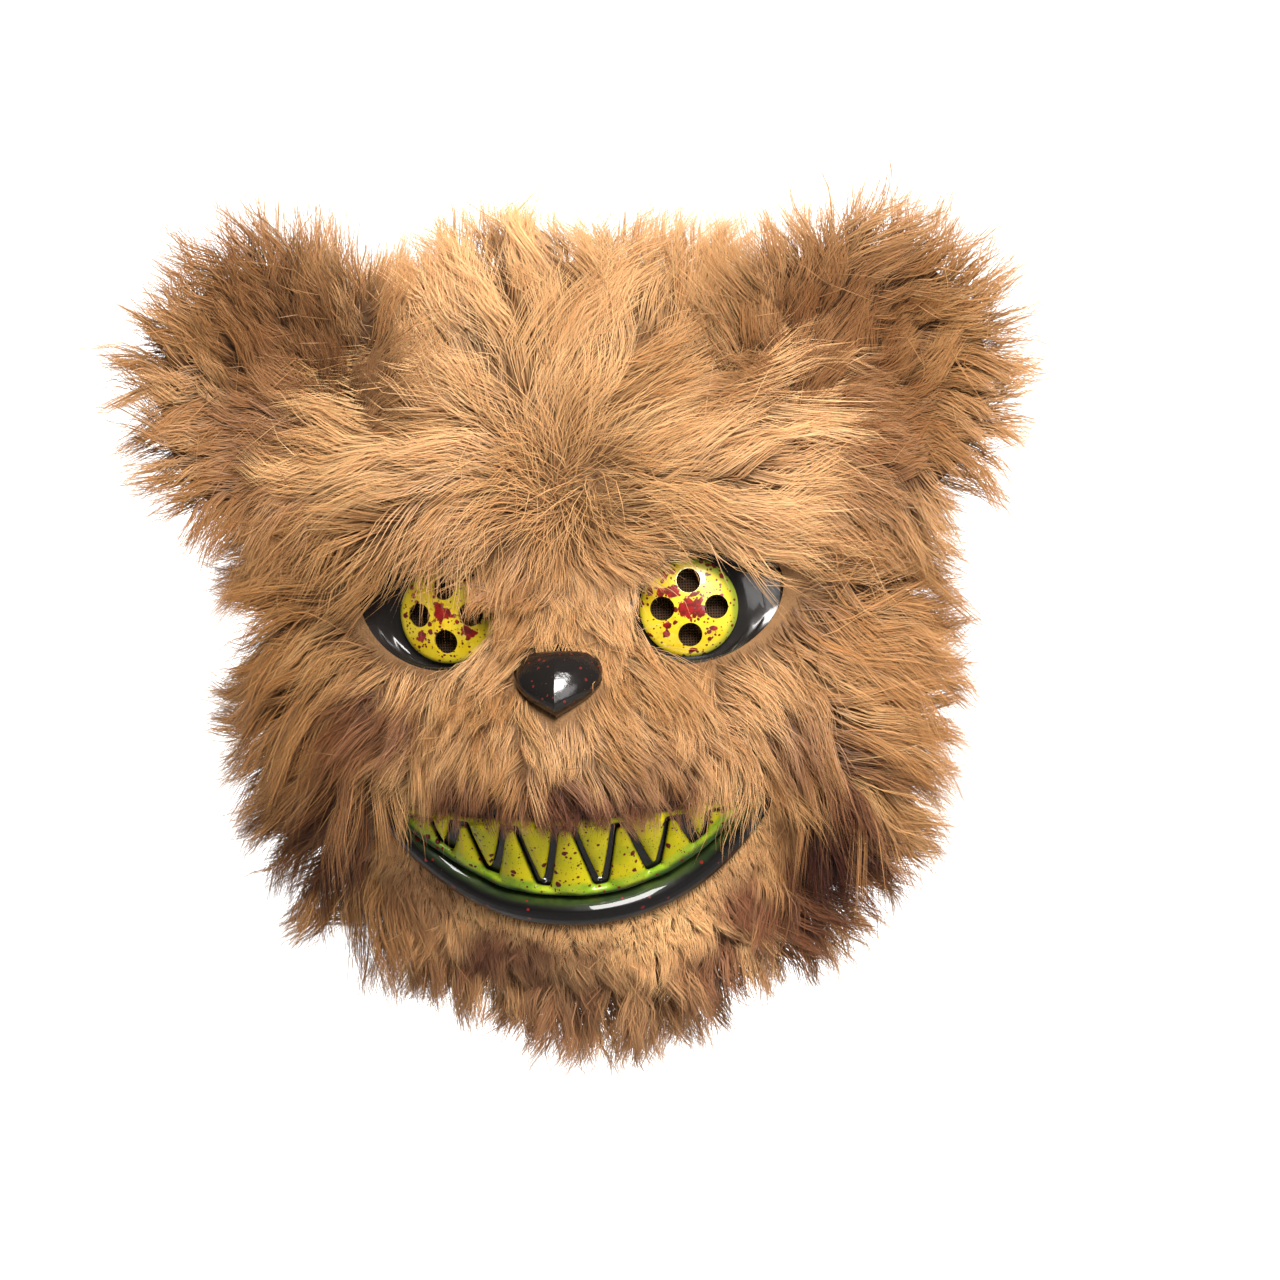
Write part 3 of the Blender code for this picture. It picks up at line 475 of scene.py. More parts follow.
def mouth_top_z(x):
    return MOUTH_TOP_Z + MOUTH_TOP_ARCH * (x / MOUTH_HALF_WIDTH) ** 2


shell = rolled_disc("shell", 128, 44, lambda turn, share: round_face(turn, share))
apply_modifier(shell, "SOLIDIFY", thickness=SHELL_WALL, offset=1.0)
clean_up(shell)
for side in (LEFT, RIGHT):
    outer = socket_body("outer_cup", side, SHELL_WALL, SHELL_WALL / 2, SHELL_WALL, 0.0)
    inner = socket_body("inner_cup", side, 0.0, -SHELL_WALL / 3, 0.0, 6 * MM)
    apply_modifier(shell, "BOOLEAN", object=outer, operation="UNION", solver="EXACT")
    apply_modifier(shell, "BOOLEAN", object=inner, operation="DIFFERENCE", solver="EXACT")
    discard(outer, inner)
    place, look, across, upward = eye_frame(side)
    drill(shell, place, look, EYE_RADIUS - SOCKET_LAND, 12 * MM)
    drill(shell, *strap_anchor(side), RIVET_RADIUS + 0.15 * MM, 12 * MM)
for x in (-FANG_X[0], FANG_X[0]):
    z = gum_z(x) + BREATH_RADIUS + SEAT_GAP
    drill(shell, on_face(x, z), normal_at(x, z), BREATH_RADIUS, 12 * MM)
smooth_by_angle(shell, 35)

black_gloss = Finish("black gloss", Coat_Weight=0.4, Coat_Roughness=0.08, Specular_IOR_Level=0.4)
black_gloss.colour(black_gloss.blotches(60), (0.010, 0.009, 0.008), (0.022, 0.018, 0.016))
black_gloss.set("Roughness", 0.16 + 0.16 * black_gloss.blotches(90))
black_gloss.bump(black_gloss.blotches(160, 2), 0.0006, 0.25)
add_piece(shell, "shell", "face_shell", finish=black_gloss)


# The eyes: two crowned discs of clear-coated plastic, each with four sight holes, painted yellow
# with a green edge and a spatter of blood red, and glued to the floors of their sockets.

EYE_CROWN, EYE_WALL = 3.6 * MM, 1.3 * MM
SIGHT_RADIUS, SIGHT_OFFSET = 3.3 * MM, 7.4 * MM

# Red runs on the paint: across, up, half width, half height, in shares of the eye's radius
BLOTCHES = {
    RIGHT: (
        (0.14, -0.02, 0.31, 0.24), (-0.33, 0.33, 0.24, 0.13), (-0.46, 0.66, 0.12, 0.08),
        (-0.34, 0.74, 0.10, 0.06), (-0.75, 0.36, 0.07, 0.10), (0.20, 0.28, 0.09, 0.07),
        (-0.43, -0.34, 0.09, 0.07), (-0.43, -0.52, 0.07, 0.09), (0.52, -0.42, 0.08, 0.05),
        (0.10, -0.86, 0.09, 0.04), (0.70, 0.22, 0.05, 0.05),
    ),
    LEFT: (
        (-0.08, 0.05, 0.26, 0.20), (0.42, -0.36, 0.20, 0.14), (0.36, 0.70, 0.12, 0.06),
        (-0.55, -0.44, 0.10, 0.13), (-0.16, 0.42, 0.10, 0.07), (0.72, 0.30, 0.07, 0.10),
        (0.06, -0.55, 0.08, 0.10), (-0.70, 0.40, 0.06, 0.05), (0.22, -0.14, 0.07, 0.05),
    ),
}


def blood_specks(finish, scale, size, offset=(0, 0, 0)):
    """Round specks of two sizes, some of the cells empty."""
    spot = finish.node("ShaderNodeMapping", None, finish.place(), Location=offset)
    wander = finish.node("ShaderNodeTexNoise", None, spot, Scale=900, Detail=2, output="Color")
    bent = finish.vectors("MULTIPLY_ADD", wander, (0.0006,) * 3, spot)
    cell = finish.node("ShaderNodeTexVoronoi", {"feature": "F1"}, bent, Scale=scale, output="Distance")
    tint = finish.node("ShaderNodeTexVoronoi", {"feature": "F1"}, bent, Scale=scale, output="Color")
    chance = finish.node("ShaderNodeSeparateColor", None, tint, output=0)
    reach = chance.within(0.45, 1.0) * size
    return 1 - (cell - reach).within(-0.02, 0.02)


def blood_runs(finish, centre, across, radius, runs):
    """Ragged blotches at given places on a disc."""
    wander = finish.node("ShaderNodeTexNoise", None, finish.place(), Scale=520, Detail=4, output="Fac") - 0.5
    total = None
    for u, v, wide, tall in runs:
        middle = centre + (across * u + np.array([0, 0, 1]) * v) * radius
        away = finish.vectors("SUBTRACT", finish.place(), tuple(float(c) for c in middle))
        squeezed = finish.vectors("MULTIPLY", away, (1 / (wide * radius), 0.0, 1 / (tall * radius)))
        size = finish.vectors("LENGTH", squeezed, output=1)
        patch = 1 - (size + wander * 2.6).within(0.80, 0.95)
        total = patch if total is None else finish.maths("MAXIMUM", total, patch)
    return total


BLOOD, DRY_BLOOD = (0.34, 0.010, 0.008), (0.16, 0.010, 0.006)
for side in (LEFT, RIGHT):
    place, look, across, upward = eye_frame(side)

    def crown(turn, share):
        ring = ring_way(turn, across, upward)
        turned_edge = 0.25 * MM * np.clip((share - 0.94) / 0.06, 0, 1) ** 2
        lift = SEAT_GAP + EYE_WALL + EYE_CROWN * (1 - share**2) - turned_edge
        return place + ring * (share * EYE_RADIUS)[:, None] + look * lift[:, None]

    disc = rolled_disc(f"eye_disc_{SIDES[side]}", 80, 22, crown)
    apply_modifier(disc, "SOLIDIFY", thickness=EYE_WALL, offset=1.0)
    clean_up(disc)
    for quarter in range(4):
        turn = quarter * math.pi / 2
        centre = place + (across * math.cos(turn) + upward * math.sin(turn)) * SIGHT_OFFSET
        drill(disc, centre, look, SIGHT_RADIUS, 20 * MM, 40)
    apply_modifier(
        disc, "BEVEL", width=0.22 * MM, segments=3, limit_method="ANGLE", angle_limit=math.radians(50)
    )
    smooth_by_angle(disc, 40)

    paint = Finish(f"eye paint {SIDES[side]}", Coat_Weight=1.0, Coat_Roughness=0.04, Roughness=0.3)
    away = paint.vectors("SUBTRACT", paint.place(), tuple(float(c) for c in place))
    flat = paint.vectors("MULTIPLY", away, (1 / EYE_RADIUS, 0.0, 1 / EYE_RADIUS))
    radius = paint.vectors("LENGTH", flat, output=1)
    lean = paint.vectors("DOT_PRODUCT", flat, (0.7, 0.0, 0.7), output=1)
    mottle = paint.blotches(220, 4)
    edge = (radius + mottle * 0.10 + lean * 0.08).within(0.90, 1.06)
    yellow = paint.blend(mottle.within(0.35, 0.65), (0.86, 0.60, 0.012), (0.92, 0.70, 0.035))
    colour = paint.blend(edge, yellow, (0.30, 0.36, 0.03))
    haze = paint.blotches(420, 3, (0.3, 0, 0)).within(0.60, 0.74) * 0.5
    colour = paint.blend(haze, colour, (0.62, 0.30, 0.02))
    runs = blood_runs(paint, place, across, EYE_RADIUS, BLOTCHES[side])
    specks = blood_specks(paint, 560, 0.44, (side * 0.1, 0, 0))
    fine = blood_specks(paint, 1150, 0.46, (0, 0, side * 0.2))
    colour = paint.blend(fine, colour, DRY_BLOOD)
    colour = paint.blend(specks, colour, DRY_BLOOD)
    clot = paint.blend(paint.blotches(700, 2).within(0.4, 0.6), BLOOD, DRY_BLOOD)
    paint.colour(runs, colour, clot)
    paint.bump(runs * 0.5 + specks * 0.3 + paint.blotches(300, 2) * 0.3, 0.0003, 0.5)
    add_piece(disc, "eye_paint", f"eye_{SIDES[side]}", finish=paint)


# The gauze behind the sight holes: a disc of dark open-weave cloth, glued to the back of each
# socket's floor so that the wearer sees out and nobody sees in.

GAUZE_THICKNESS = 0.5 * MM
gauze_cloth = Finish("gauze cloth", Roughness=0.9, Specular_IOR_Level=0.2)
threads = gauze_cloth.maths("MAXIMUM", *(
    gauze_cloth.node(
        "ShaderNodeTexWave", {"wave_type": "BANDS", "bands_direction": direction}, gauze_cloth.place(),
        Scale=420, Distortion=1.5, output="Fac",
    )
    for direction in "XZ"
))
gauze_cloth.colour(threads.within(0.4, 0.9), (0.012, 0.008, 0.006), (0.10, 0.055, 0.03))
gauze_cloth.bump(threads, 0.0003, 0.8)
for side in (LEFT, RIGHT):
    place, look, across, upward = eye_frame(side)
    back = place - look * (SHELL_WALL + SEAT_GAP)

    def cloth(turn, share):
        frayed = 1 - 0.02 * np.abs(np.sin(turn * 23)) * (share > 0.98)
        return back + ring_way(turn, across, upward) * (share * EYE_RADIUS * frayed)[:, None]

    gauze = rolled_disc(f"gauze_{SIDES[side]}", 48, 12, cloth)
    apply_modifier(gauze, "SOLIDIFY", thickness=GAUZE_THICKNESS, offset=1.0)
    clean_up(gauze)
    smooth_by_angle(gauze, 40)
    add_piece(gauze, "gauze", f"eye_gauze_{SIDES[side]}", finish=gauze_cloth)


# The nose: a hard, full pad with a wet-looking gloss, set in a close cut in the fur and glued to
# the muzzle. It is flat above, drawn to a point below, and overhangs a little in front.

NOSE_Z = -17 * MM
NOSE_HALF_WIDTH, NOSE_ABOVE, NOSE_BELOW = 12 * MM, 6.5 * MM, 11 * MM
NOSE_RISE = 8.5 * MM


def nose_edge(turn, grow=0.0):
    rise, run = np.sin(turn), np.cos(turn)
    above = rise > 0
    x = np.copysign(np.abs(run) ** np.where(above, 0.6, 2.6), run)
    z = np.where(above, (NOSE_ABOVE + grow) * np.abs(rise) ** 0.8, -(NOSE_BELOW + grow) * np.abs(rise) ** 0.9)
    return (NOSE_HALF_WIDTH + grow) * x, NOSE_Z + z


nose_look = unit(normal_at(0.0, NOSE_Z) + np.array([0, -1, 0]))


def nose_surface(turn, share):
    """From the middle of the front, round the full edge and down to the muzzle."""
    x, z = nose_edge(turn)
    front = np.clip(share / 0.85, 0, 1)
    size = np.sin(front * math.pi / 2)
    base = on_face(x * size, NOSE_Z + (z - NOSE_Z) * size)
    full = (1 - size**3) ** (1 / 3)
    brim = np.clip((z * size - NOSE_Z * size) / NOSE_ABOVE, 0, 1)
    ridge = 1 - 0.26 * np.abs(x * size) / NOSE_HALF_WIDTH - 0.20 * brim
    foot = np.clip((share - 0.85) / 0.15, 0, 1)
    lift = NOSE_RISE * (0.22 + 0.80 * full * ridge) * (1 - foot) + SEAT_GAP * foot
    return base + nose_look * lift[:, None]


nose = rolled_disc("nose_pad", 72, 40, nose_surface)
close_ends(nose, bpy.ops.mesh.fill)
smooth_by_angle(nose, 50)
nose_gloss = Finish("nose gloss", Coat_Weight=0.5, Coat_Roughness=0.12, Roughness=0.28)
nose_gloss.set("Roughness", 0.10 + 0.16 * nose_gloss.blotches(260, 5))
specks = blood_specks(nose_gloss, 700, 0.30, (0.4, 0, 0))
nose_gloss.colour(specks, (0.012, 0.010, 0.009), (0.14, 0.02, 0.012))
nose_gloss.bump(nose_gloss.blotches(420, 4) + 0.25 * nose_gloss.blotches(1500, 2), 0.0005, 0.35)
add_piece(nose, "nose_gloss", "nose", finish=nose_gloss)


# The grin: a rolled lower lip in black gloss paint, a lime green gum behind it, and rows of
# yellow teeth moulded with deep black grooves between them, all glued on to the shell.

FRONT_ROWS = 0.75


def relief(name, stations, rows, place):
    """A closed raised patch on the shell: place gives x, z and rise for u and v from 0 to 1."""
    obj, grid = new_grid(name, stations, rows)
    step = 1 / stations
    u = np.clip((grid[:, 0] - step) / (1 - 2 * step), 0, 1)
    closed = (grid[:, 0] < step / 2) | (grid[:, 0] > 1 - step / 2)
    front = grid[:, 1] < FRONT_ROWS
    v = np.where(front, grid[:, 1] / FRONT_ROWS, 1 - (grid[:, 1] - FRONT_ROWS) / (1 - FRONT_ROWS))
    v = np.where(closed, 0.5, v)
    x, z, rise = place(u, v)
    rise = np.where(front & ~closed & (grid[:, 1] > 1e-6), rise, SEAT_GAP)
    move_vertices(obj, on_face(x, z) + normal_at(x, z) * rise[:, None])
    store(obj, "across", v)
    clean_up(obj)
    return obj


LIP_ACROSS = (-0.50, -0.46, -0.38, -0.12, 0.10, 0.22, 0.38, 0.50)
LIP_STANDS = (0.06, 0.40, 0.70, 0.94, 1.02, 0.98, 0.66, 0.06)


def lip_section(u, v):
    x = (2 * u - 1) * MOUTH_HALF_WIDTH
    slim, side, upward = lip_frame(x)
    across = -0.5 + v
    stand = np.interp(across, LIP_ACROSS, LIP_STANDS)
    ripple = 0.12 * MM * np.sin(x / (9 * MM)) + 0.08 * MM * np.sin(x / (3.7 * MM) + 1)
    reach = across * LIP_WIDTH * slim
    return x + side * reach, lip_z(x) + upward * reach, stand * (LIP_RISE + ripple) * slim


lip = relief("lip", 200, 36, lip_section)
apply_modifier(lip, "SMOOTH", factor=0.5, iterations=4)
smooth_by_angle(lip, 60)
lip_paint = Finish("lip paint", Coat_Weight=0.55, Coat_Roughness=0.04, Roughness=0.4, Specular_IOR_Level=0.12)
height = lip_paint.attribute("across")
mottle = lip_paint.blotches(180, 4)
green = lip_paint.blend(mottle.within(0.35, 0.65), (0.045, 0.075, 0.012), (0.02, 0.035, 0.010))
colour = lip_paint.blend((height + mottle * 0.16).within(0.84, 1.02), (0.006, 0.005, 0.005), green)
specks = blood_specks(lip_paint, 420, 0.26, (0.2, 0, 0))
lip_paint.colour(specks, colour, (0.22, 0.015, 0.01))
lip_paint.bump(lip_paint.blotches(240, 4), 0.0006, 0.25)
add_piece(lip, "lip_paint", "lower_lip", finish=lip_paint)

FANG_ROOT_HALF = 4.8 * MM
CUT_MARGIN = 1.2 * MM


def gum_strip(u, v):
    x = (2 * u - 1) * TEETH_ACROSS
    slim, side, upward = lip_frame(x)
    reach = 2 * SEAT_GAP + slim * (LIP_WIDTH / 2 + GUM_HEIGHT * (1.25 * v - 0.1))
    swell = np.sin(np.clip(v, 0.02, 0.98) * math.pi) ** 0.5
    lumps = 0.25 * MM * np.sin(x / (4.1 * MM)) + 0.15 * MM * np.sin(x / (1.9 * MM))
    return x + side * reach, lip_z(x) + upward * reach, SEAT_GAP + (GUM_RISE * 1.5 + lumps) * swell


def gum_above(u, v):
    x = (2 * u - 1) * (TEETH_ACROSS - TOOTH_GROOVE)
    top = mouth_top_z(x) - CUT_MARGIN / 2
    return x, top - GUM_HEIGHT * v, GUM_RISE * np.sin(np.clip(v, 0.05, 0.95) * math.pi) ** 0.5


def tooth(name, middle, root_half, tip_half, root_at, tip_z, point):
    """One tooth: crowned across, rounded at its tip, and following its gum at the root."""

    def section(u, v):
        across = 2 * u - 1
        low = middle + root_half * across
        half = root_half + (tip_half - root_half) * v ** (1.25 if point else 0.9)
        half = half * np.sqrt(np.clip(1 - np.clip((v - 0.92) / 0.085, 0, 1) ** 2, 0, 1))
        z = root_at(low) + (tip_z - root_at(low)) * v
        crowned = np.clip(1 - across**2, 0, 1) ** 0.45
        rise = TOOTH_RISE * (0.12 + 0.88 * crowned) * (1 - 0.35 * v**2)
        return middle + half * across, z, rise

    return relief(name, 28, 44, section)


def fuse(name, parts):
    """Melts moulded parts into one skin with softened edges."""
    select_only(*parts)
    bpy.ops.object.join()
    fused = bpy.context.active_object
    fused.name = fused.data.name = name
    apply_modifier(fused, "REMESH", mode="VOXEL", voxel_size=0.42 * MM)
    apply_modifier(fused, "SMOOTH", factor=0.6, iterations=5)
    select_only(fused)
    bpy.ops.object.shade_smooth()
    return fused


row_end = TEETH_ACROSS + TOOTH_GROOVE / 2
edges = [-row_end, *(-x for x in reversed(FANG_X)), *FANG_X, row_end]
lower, upper = [relief("gum_below", 260, 24, gum_strip)], [relief("gum_above", 200, 20, gum_above)]
for left, right in zip(edges, edges[1:]):
    middle = (left + right) / 2
    half = (right - left - TOOTH_GROOVE) / 2
    lean = FANG_ROOT_HALF if abs(middle) < FANG_X[-1] else FANG_ROOT_HALF / 2
    top = float(mouth_top_z(middle)) - GUM_HEIGHT - TOOTH_GROOVE / 2
    tip_half = max(half - lean, half * 0.16)
    lower.append(tooth("crown", middle, half, tip_half, lambda x: gum_z(x) - GUM_HEIGHT / 2, top, False))
for middle in (*(-x for x in FANG_X), *FANG_X):
    root = float(mouth_top_z(middle)) - CUT_MARGIN / 2 - GUM_HEIGHT / 2
    tip = float(gum_z(middle)) + 2 * BREATH_RADIUS + 2 * SEAT_GAP
    half = min(FANG_ROOT_HALF, (root - tip) / 2.6)
    upper.append(tooth("fang", middle, half, half / 10, lambda x: root + 0 * x, tip, True))


def paint_teeth(obj, name, seed):
    """Green gum, ochre teeth that turn green and dark towards their edges, and specks of blood."""
    co = vertex_places(obj)
    x, z = co[:, 0], co[:, 2]
    stand = (on_face(x, z)[:, 1] - co[:, 1]) / TOOTH_RISE
    above_gum = (z - gum_z(x)) / MM
    store(obj, "stand", stand)
    store(obj, "above_gum", above_gum)
    paint = Finish(name, Coat_Weight=0.45, Coat_Roughness=0.05, Roughness=0.4, Specular_IOR_Level=0.15)
    stand, above = paint.attribute("stand"), paint.attribute("above_gum")
    mottle = paint.blotches(190, 5, (seed, 0, 0))
    ochre = paint.blend(mottle.within(0.38, 0.62), (0.74, 0.62, 0.004), (0.62, 0.56, 0.004))
    streak = paint.blotches(90, 3, (0, seed, 0)).within(0.56, 0.72) * 0.6
    ochre = paint.blend(streak, ochre, (0.42, 0.44, 0.006))
    tooth_edge = 1 - (stand + mottle * 0.3).within(0.50, 0.85)
    colour = paint.blend(tooth_edge, ochre, (0.10, 0.12, 0.008))
    gum = 1 - (above + mottle * 2.0).within(0.4, 2.4)
    lime = paint.blend(mottle.within(0.3, 0.7), (0.22, 0.40, 0.012), (0.50, 0.60, 0.030))
    lime = paint.blend(1 - (above + mottle).within(-2.4, -0.6), lime, (0.03, 0.07, 0.012))
    colour = paint.blend(gum, colour, lime)
    colour = paint.blend(1 - stand.within(0.20, 0.46), colour, (0.010, 0.009, 0.008))
    big = blood_specks(paint, 330, 0.30, (seed, 0, 0.1))
    small = blood_specks(paint, 760, 0.34, (0, 0, seed))
    dust = blood_specks(paint, 1700, 0.30, (0, seed, seed))
    for specks, tone in ((dust, (0.16, 0.05, 0.008)), (small, DRY_BLOOD), (big, (0.13, 0.006, 0.005))):
        colour = paint.blend(specks, colour, tone)
    paint.set("Base Color", colour)
    paint.bump(big * 0.4 + small * 0.2 + mottle * 0.6, 0.0004, 0.4)
    return paint


for name, parts, node, seed in (("below", lower, "lower", 0.3), ("above", upper, "upper", 0.7)):
    teeth = fuse(f"teeth_{name}", parts)
    add_piece(teeth, "tooth_paint", f"{node}_teeth", finish=paint_teeth(teeth, f"{node} tooth paint", seed))


# The fabric's backing: a thin knitted pelt stretched over the shell and glued down, with close
# cuts round the eyes, the nose and the grin, and its edge turned to the shell's rim.

PELT_RISE = 1.6 * MM
COMB_MIDDLE = on_face(0.0, 33 * MM)


def inside_openings(place, room):
    """How far inside an opening of the fabric each place lies: above 0 is in the opening."""
    x, z = np.abs(place[:, 0]), place[:, 2]
    dx, dz = x - EYE_X - SOCKET_OUTWARD, z - SOCKET_UP
    u = dx * math.cos(SOCKET_SLANT) + dz * math.sin(SOCKET_SLANT)
    v = dz * math.cos(SOCKET_SLANT) - dx * math.sin(SOCKET_SLANT)
    eye = 1 - np.hypot(u / (SOCKET_HALF_WIDTH + room), v / (SOCKET_HALF_HEIGHT + room))
    narrow = NOSE_HALF_WIDTH * (1 - 0.5 * np.clip((NOSE_Z - z) / NOSE_BELOW, 0, 1)) + room
    nose_bulge = 1 - np.hypot(x / narrow, (z - NOSE_Z + 1.5 * MM) / (0.86 * NOSE_BELOW + room))
    below, above = lip_z(x) - LIP_WIDTH / 2 * lip_frame(x)[0] - room, mouth_top_z(x) + CUT_MARGIN + room
    mouth = np.minimum(z - below, above - z)
    mouth = np.minimum(mouth, MOUTH_HALF_WIDTH + 2 * CUT_MARGIN + room - x) / (10 * MM)
    mouth = np.where(place[:, 1] < 40 * MM, mouth, -1)
    return np.maximum(np.maximum(eye, nose_bulge), mouth)


def pelt_place(turn, share):
    """From the middle of the front out to the rim, and back again against the shell."""
    front = share <= 0.5
    ring = np.where(front, share, 1 - share) * 2
    thick = np.where(front, PELT_RISE, SEAT_GAP) * np.where(np.abs(share - 0.5) < 0.004, 0.75, 1)
    return round_face(turn, ring) + round_normal(turn, np.minimum(ring, 0.998)) * thick[:, None]


pelt = rolled_disc("fur_pelt", 150, 128, pelt_place)
clean_up(pelt)


def cutter(x, z, axis):
    """A prism through the face, from an outline in x and z."""
    count = len(x)
    base = np.stack([x, 0 * x, z], axis=1)
    base = base - axis * ((base[:, 1] - 18 * MM) / axis[1])[:, None]
    ends = np.concatenate([base + axis * 60 * MM, base - axis * 60 * MM])
    sides = [(i, (i + 1) % count, (i + 1) % count + count, i + count) for i in range(count)]
    mesh = bpy.data.meshes.new("cutter")
    mesh.from_pydata(ends.tolist(), [], [*sides, tuple(range(count)), tuple(range(count, 2 * count))])
    obj = bpy.data.objects.new("cutter", mesh)
    bpy.context.scene.collection.objects.link(obj)
    clean_up(obj)
    apply_modifier(obj, "TRIANGULATE")
    return obj


turn = np.linspace(0, 2 * math.pi, 97)[:-1]
openings = [(*socket_edge(side, turn, 0.4 * MM), eye_frame(side)[1]) for side in (LEFT, RIGHT)]
openings.append((*nose_edge(turn, CUT_MARGIN / 2), nose_look))
across = np.linspace(-1, 1, 61) * MOUTH_HALF_WIDTH
slim, sideways, upwards = lip_frame(across)
reach = LIP_WIDTH * slim / 2 + CUT_MARGIN / 2
inner = across[::-1] * 0.96
openings.append((
    np.concatenate([across - sideways * reach, inner]),
    np.concatenate([lip_z(across) - upwards * reach, mouth_top_z(inner) + CUT_MARGIN]),
    np.array([0, -1.0, 0]),
))
for x, z, axis in openings:
    opening = cutter(x, z, axis)
    apply_modifier(pelt, "BOOLEAN", object=opening, operation="DIFFERENCE", solver="EXACT")
    discard(opening)
smooth_by_angle(pelt, 60)
# The backing is painted dark brown as painted shade, so the gaps between the hairs read as shadow deep in the
# pile.
pelt_shade_cloth = Finish("pelt backing shade", Roughness=0.95, Specular_IOR_Level=0.15)
pelt_shade_cloth.colour(pelt_shade_cloth.blotches(300), (0.20, 0.105, 0.045), (0.30, 0.165, 0.075))
pelt_shade_cloth.bump(pelt_shade_cloth.blotches(1500, 3), 0.0006, 0.8)
add_piece(pelt, "fur", finish=pelt_shade_cloth)


# The long-pile fur: pointed locks of fine acrylic hair, sewn through the backing and brushed out
# from a swirl between the brows, long on forehead and cheeks and shaved short round the grin.

HAIR_HALF = 0.145 * MM
HAIR_TWIST = 0.55
STRAYS, UNDERCOAT = 0.04, 0.24
HAIRS_IN_LOCK, LOCKS_IN_TUFT = 26, 8
FACE_SAMPLES, THINNING = 620000, 3.35
SHAVED_LENGTH = 3.6 * MM
FUR_LIGHT = np.array([0.86, 0.51, 0.225])
FUR_TAN = np.array([0.54, 0.275, 0.100])
# The colour at the hairs' roots is painted shade, deep in the pile.
FUR_ROOT_SHADE = np.array([0.13, 0.056, 0.021])
STAIN_TINT = np.array([0.34, 0.235, 0.26])


def wander(places, scale, seed):
    """Smooth noise from -1 to 1 at many places, from a sum of waves."""
    rng = np.random.default_rng(seed)
    total = np.zeros(len(places))
    for octave in range(5):
        way = unit(rng.normal(size=3)) * scale * 1.55**octave
        total += np.sin(places @ way * 2 * math.pi + rng.uniform(0, 6.28)) / 1.35**octave
    return total / 2.4


def nearest(places, guides):
    """The index of the closest guide for each place."""
    tree = kdtree.KDTree(len(guides))
    for i, guide in enumerate(guides):
        tree.insert(guide, i)
    tree.balance()
    return np.array([tree.find(place)[1] for place in places])


def hair_mesh(name, root_normals, curve, half, colours):
    """Tapered ribbons along curves: curve has one row of points per hair, colours one per point."""
    count, steps = curve.shape[:2]
    along = np.empty_like(curve)
    along[:, 1:-1] = curve[:, 2:] - curve[:, :-2]
    along[:, 0], along[:, -1] = curve[:, 1] - curve[:, 0], curve[:, -1] - curve[:, -2]
    along = unit(along)
    across = unit(np.cross(along, root_normals[:, None]))
    rng = np.random.default_rng(len(name))
    twist = rng.uniform(-HAIR_TWIST, HAIR_TWIST, (count, 1, 1))
    across = unit(across * np.cos(twist) + np.cross(along, across) * np.sin(twist))
    share = np.linspace(0, 1, steps)[None, :, None]
    width = half[:, None, None] * (1 - share**1.6) * np.minimum(0.55 + 2 * share, 1)
    left, right = curve - across * width, curve + across * width
    pairs = np.stack([left[:, :-1], right[:, :-1]], 2).reshape(count, -1, 3)
    points = np.concatenate([pairs, curve[:, -1:]], 1)
    per_hair = 2 * (steps - 1) + 1
    quad = [(2 * i, 2 * i + 1, 2 * i + 3, 2 * i + 2) for i in range(steps - 2)]
    tri = (2 * (steps - 2), 2 * (steps - 2) + 1, 2 * (steps - 2) + 2)
    pattern = np.array([*[i for face in quad for i in face], *tri])
    loops = (np.arange(count)[:, None] * per_hair + pattern).ravel()
    sizes = np.tile([4] * len(quad) + [3], count)
    starts = np.concatenate([[0], np.cumsum(sizes)[:-1]])
    mesh = bpy.data.meshes.new(name)
    mesh.vertices.add(count * per_hair)
    mesh.vertices.foreach_set("co", points.astype(np.float32).ravel())
    mesh.loops.add(len(loops))
    mesh.loops.foreach_set("vertex_index", loops.astype(np.int32))
    mesh.polygons.add(len(sizes))
    mesh.polygons.foreach_set("loop_start", starts.astype(np.int32))
    mesh.polygons.foreach_set("loop_total", sizes.astype(np.int32))
    mesh.polygons.foreach_set("use_smooth", np.ones(len(sizes), bool))
    mesh.update(calc_edges=True)
    paint = mesh.color_attributes.new("hair_colour", "FLOAT_COLOR", "POINT")
    tone = np.concatenate([np.repeat(colours[:, :-1], 2, axis=1), colours[:, -1:]], 1)
    tone = np.concatenate([tone, np.ones((*tone.shape[:2], 1))], 2)
    paint.data.foreach_set("color", tone.astype(np.float32).ravel())
    obj = bpy.data.objects.new(name, mesh)
    bpy.context.scene.collection.objects.link(obj)
    return obj


def sample_face(count, rng):
    """Roots spread evenly over the face's area, with their normals."""
    turn, share = rng.uniform(0, 2 * math.pi, count), rng.uniform(0, 1, count) ** 0.5
    step = 0.004
    a = round_face(turn + step, share) - round_face(turn - step, share)
    b = round_face(turn, np.minimum(share + step, 1)) - round_face(turn, np.maximum(share - step, 0))
    weight = np.linalg.norm(np.cross(a, b), axis=1) / np.maximum(share, 0.05)
    return round_face(turn, share), round_normal(turn, share), share, weight


def smoothstep(x):
    x = np.clip(x, 0, 1)
    return x * x * (3 - 2 * x)


def patch(x, z, spot, reach, sharpness=1.0):
    """1 in an oval patch of the face to 0 outside it: spot is its middle and half sizes in millimetres."""
    across, up, wide, tall = spot
    return smoothstep(
        reach - sharpness * np.hypot((x - across * MM) / (wide * MM), (z - up * MM) / (tall * MM))
    )


# Where the pile is shorter, on muzzle, bridge and under the eyes: patch, reach, sharpness, length in mm
SHORTER_PILE = (
    ((0, -36, 47, 25), 1.75, 1.1, 11),
    ((0, -4, 20, 20), 2.0, 1.2, 10),
    ((38, -15, 24, 9), 2.0, 1.4, 15),
)


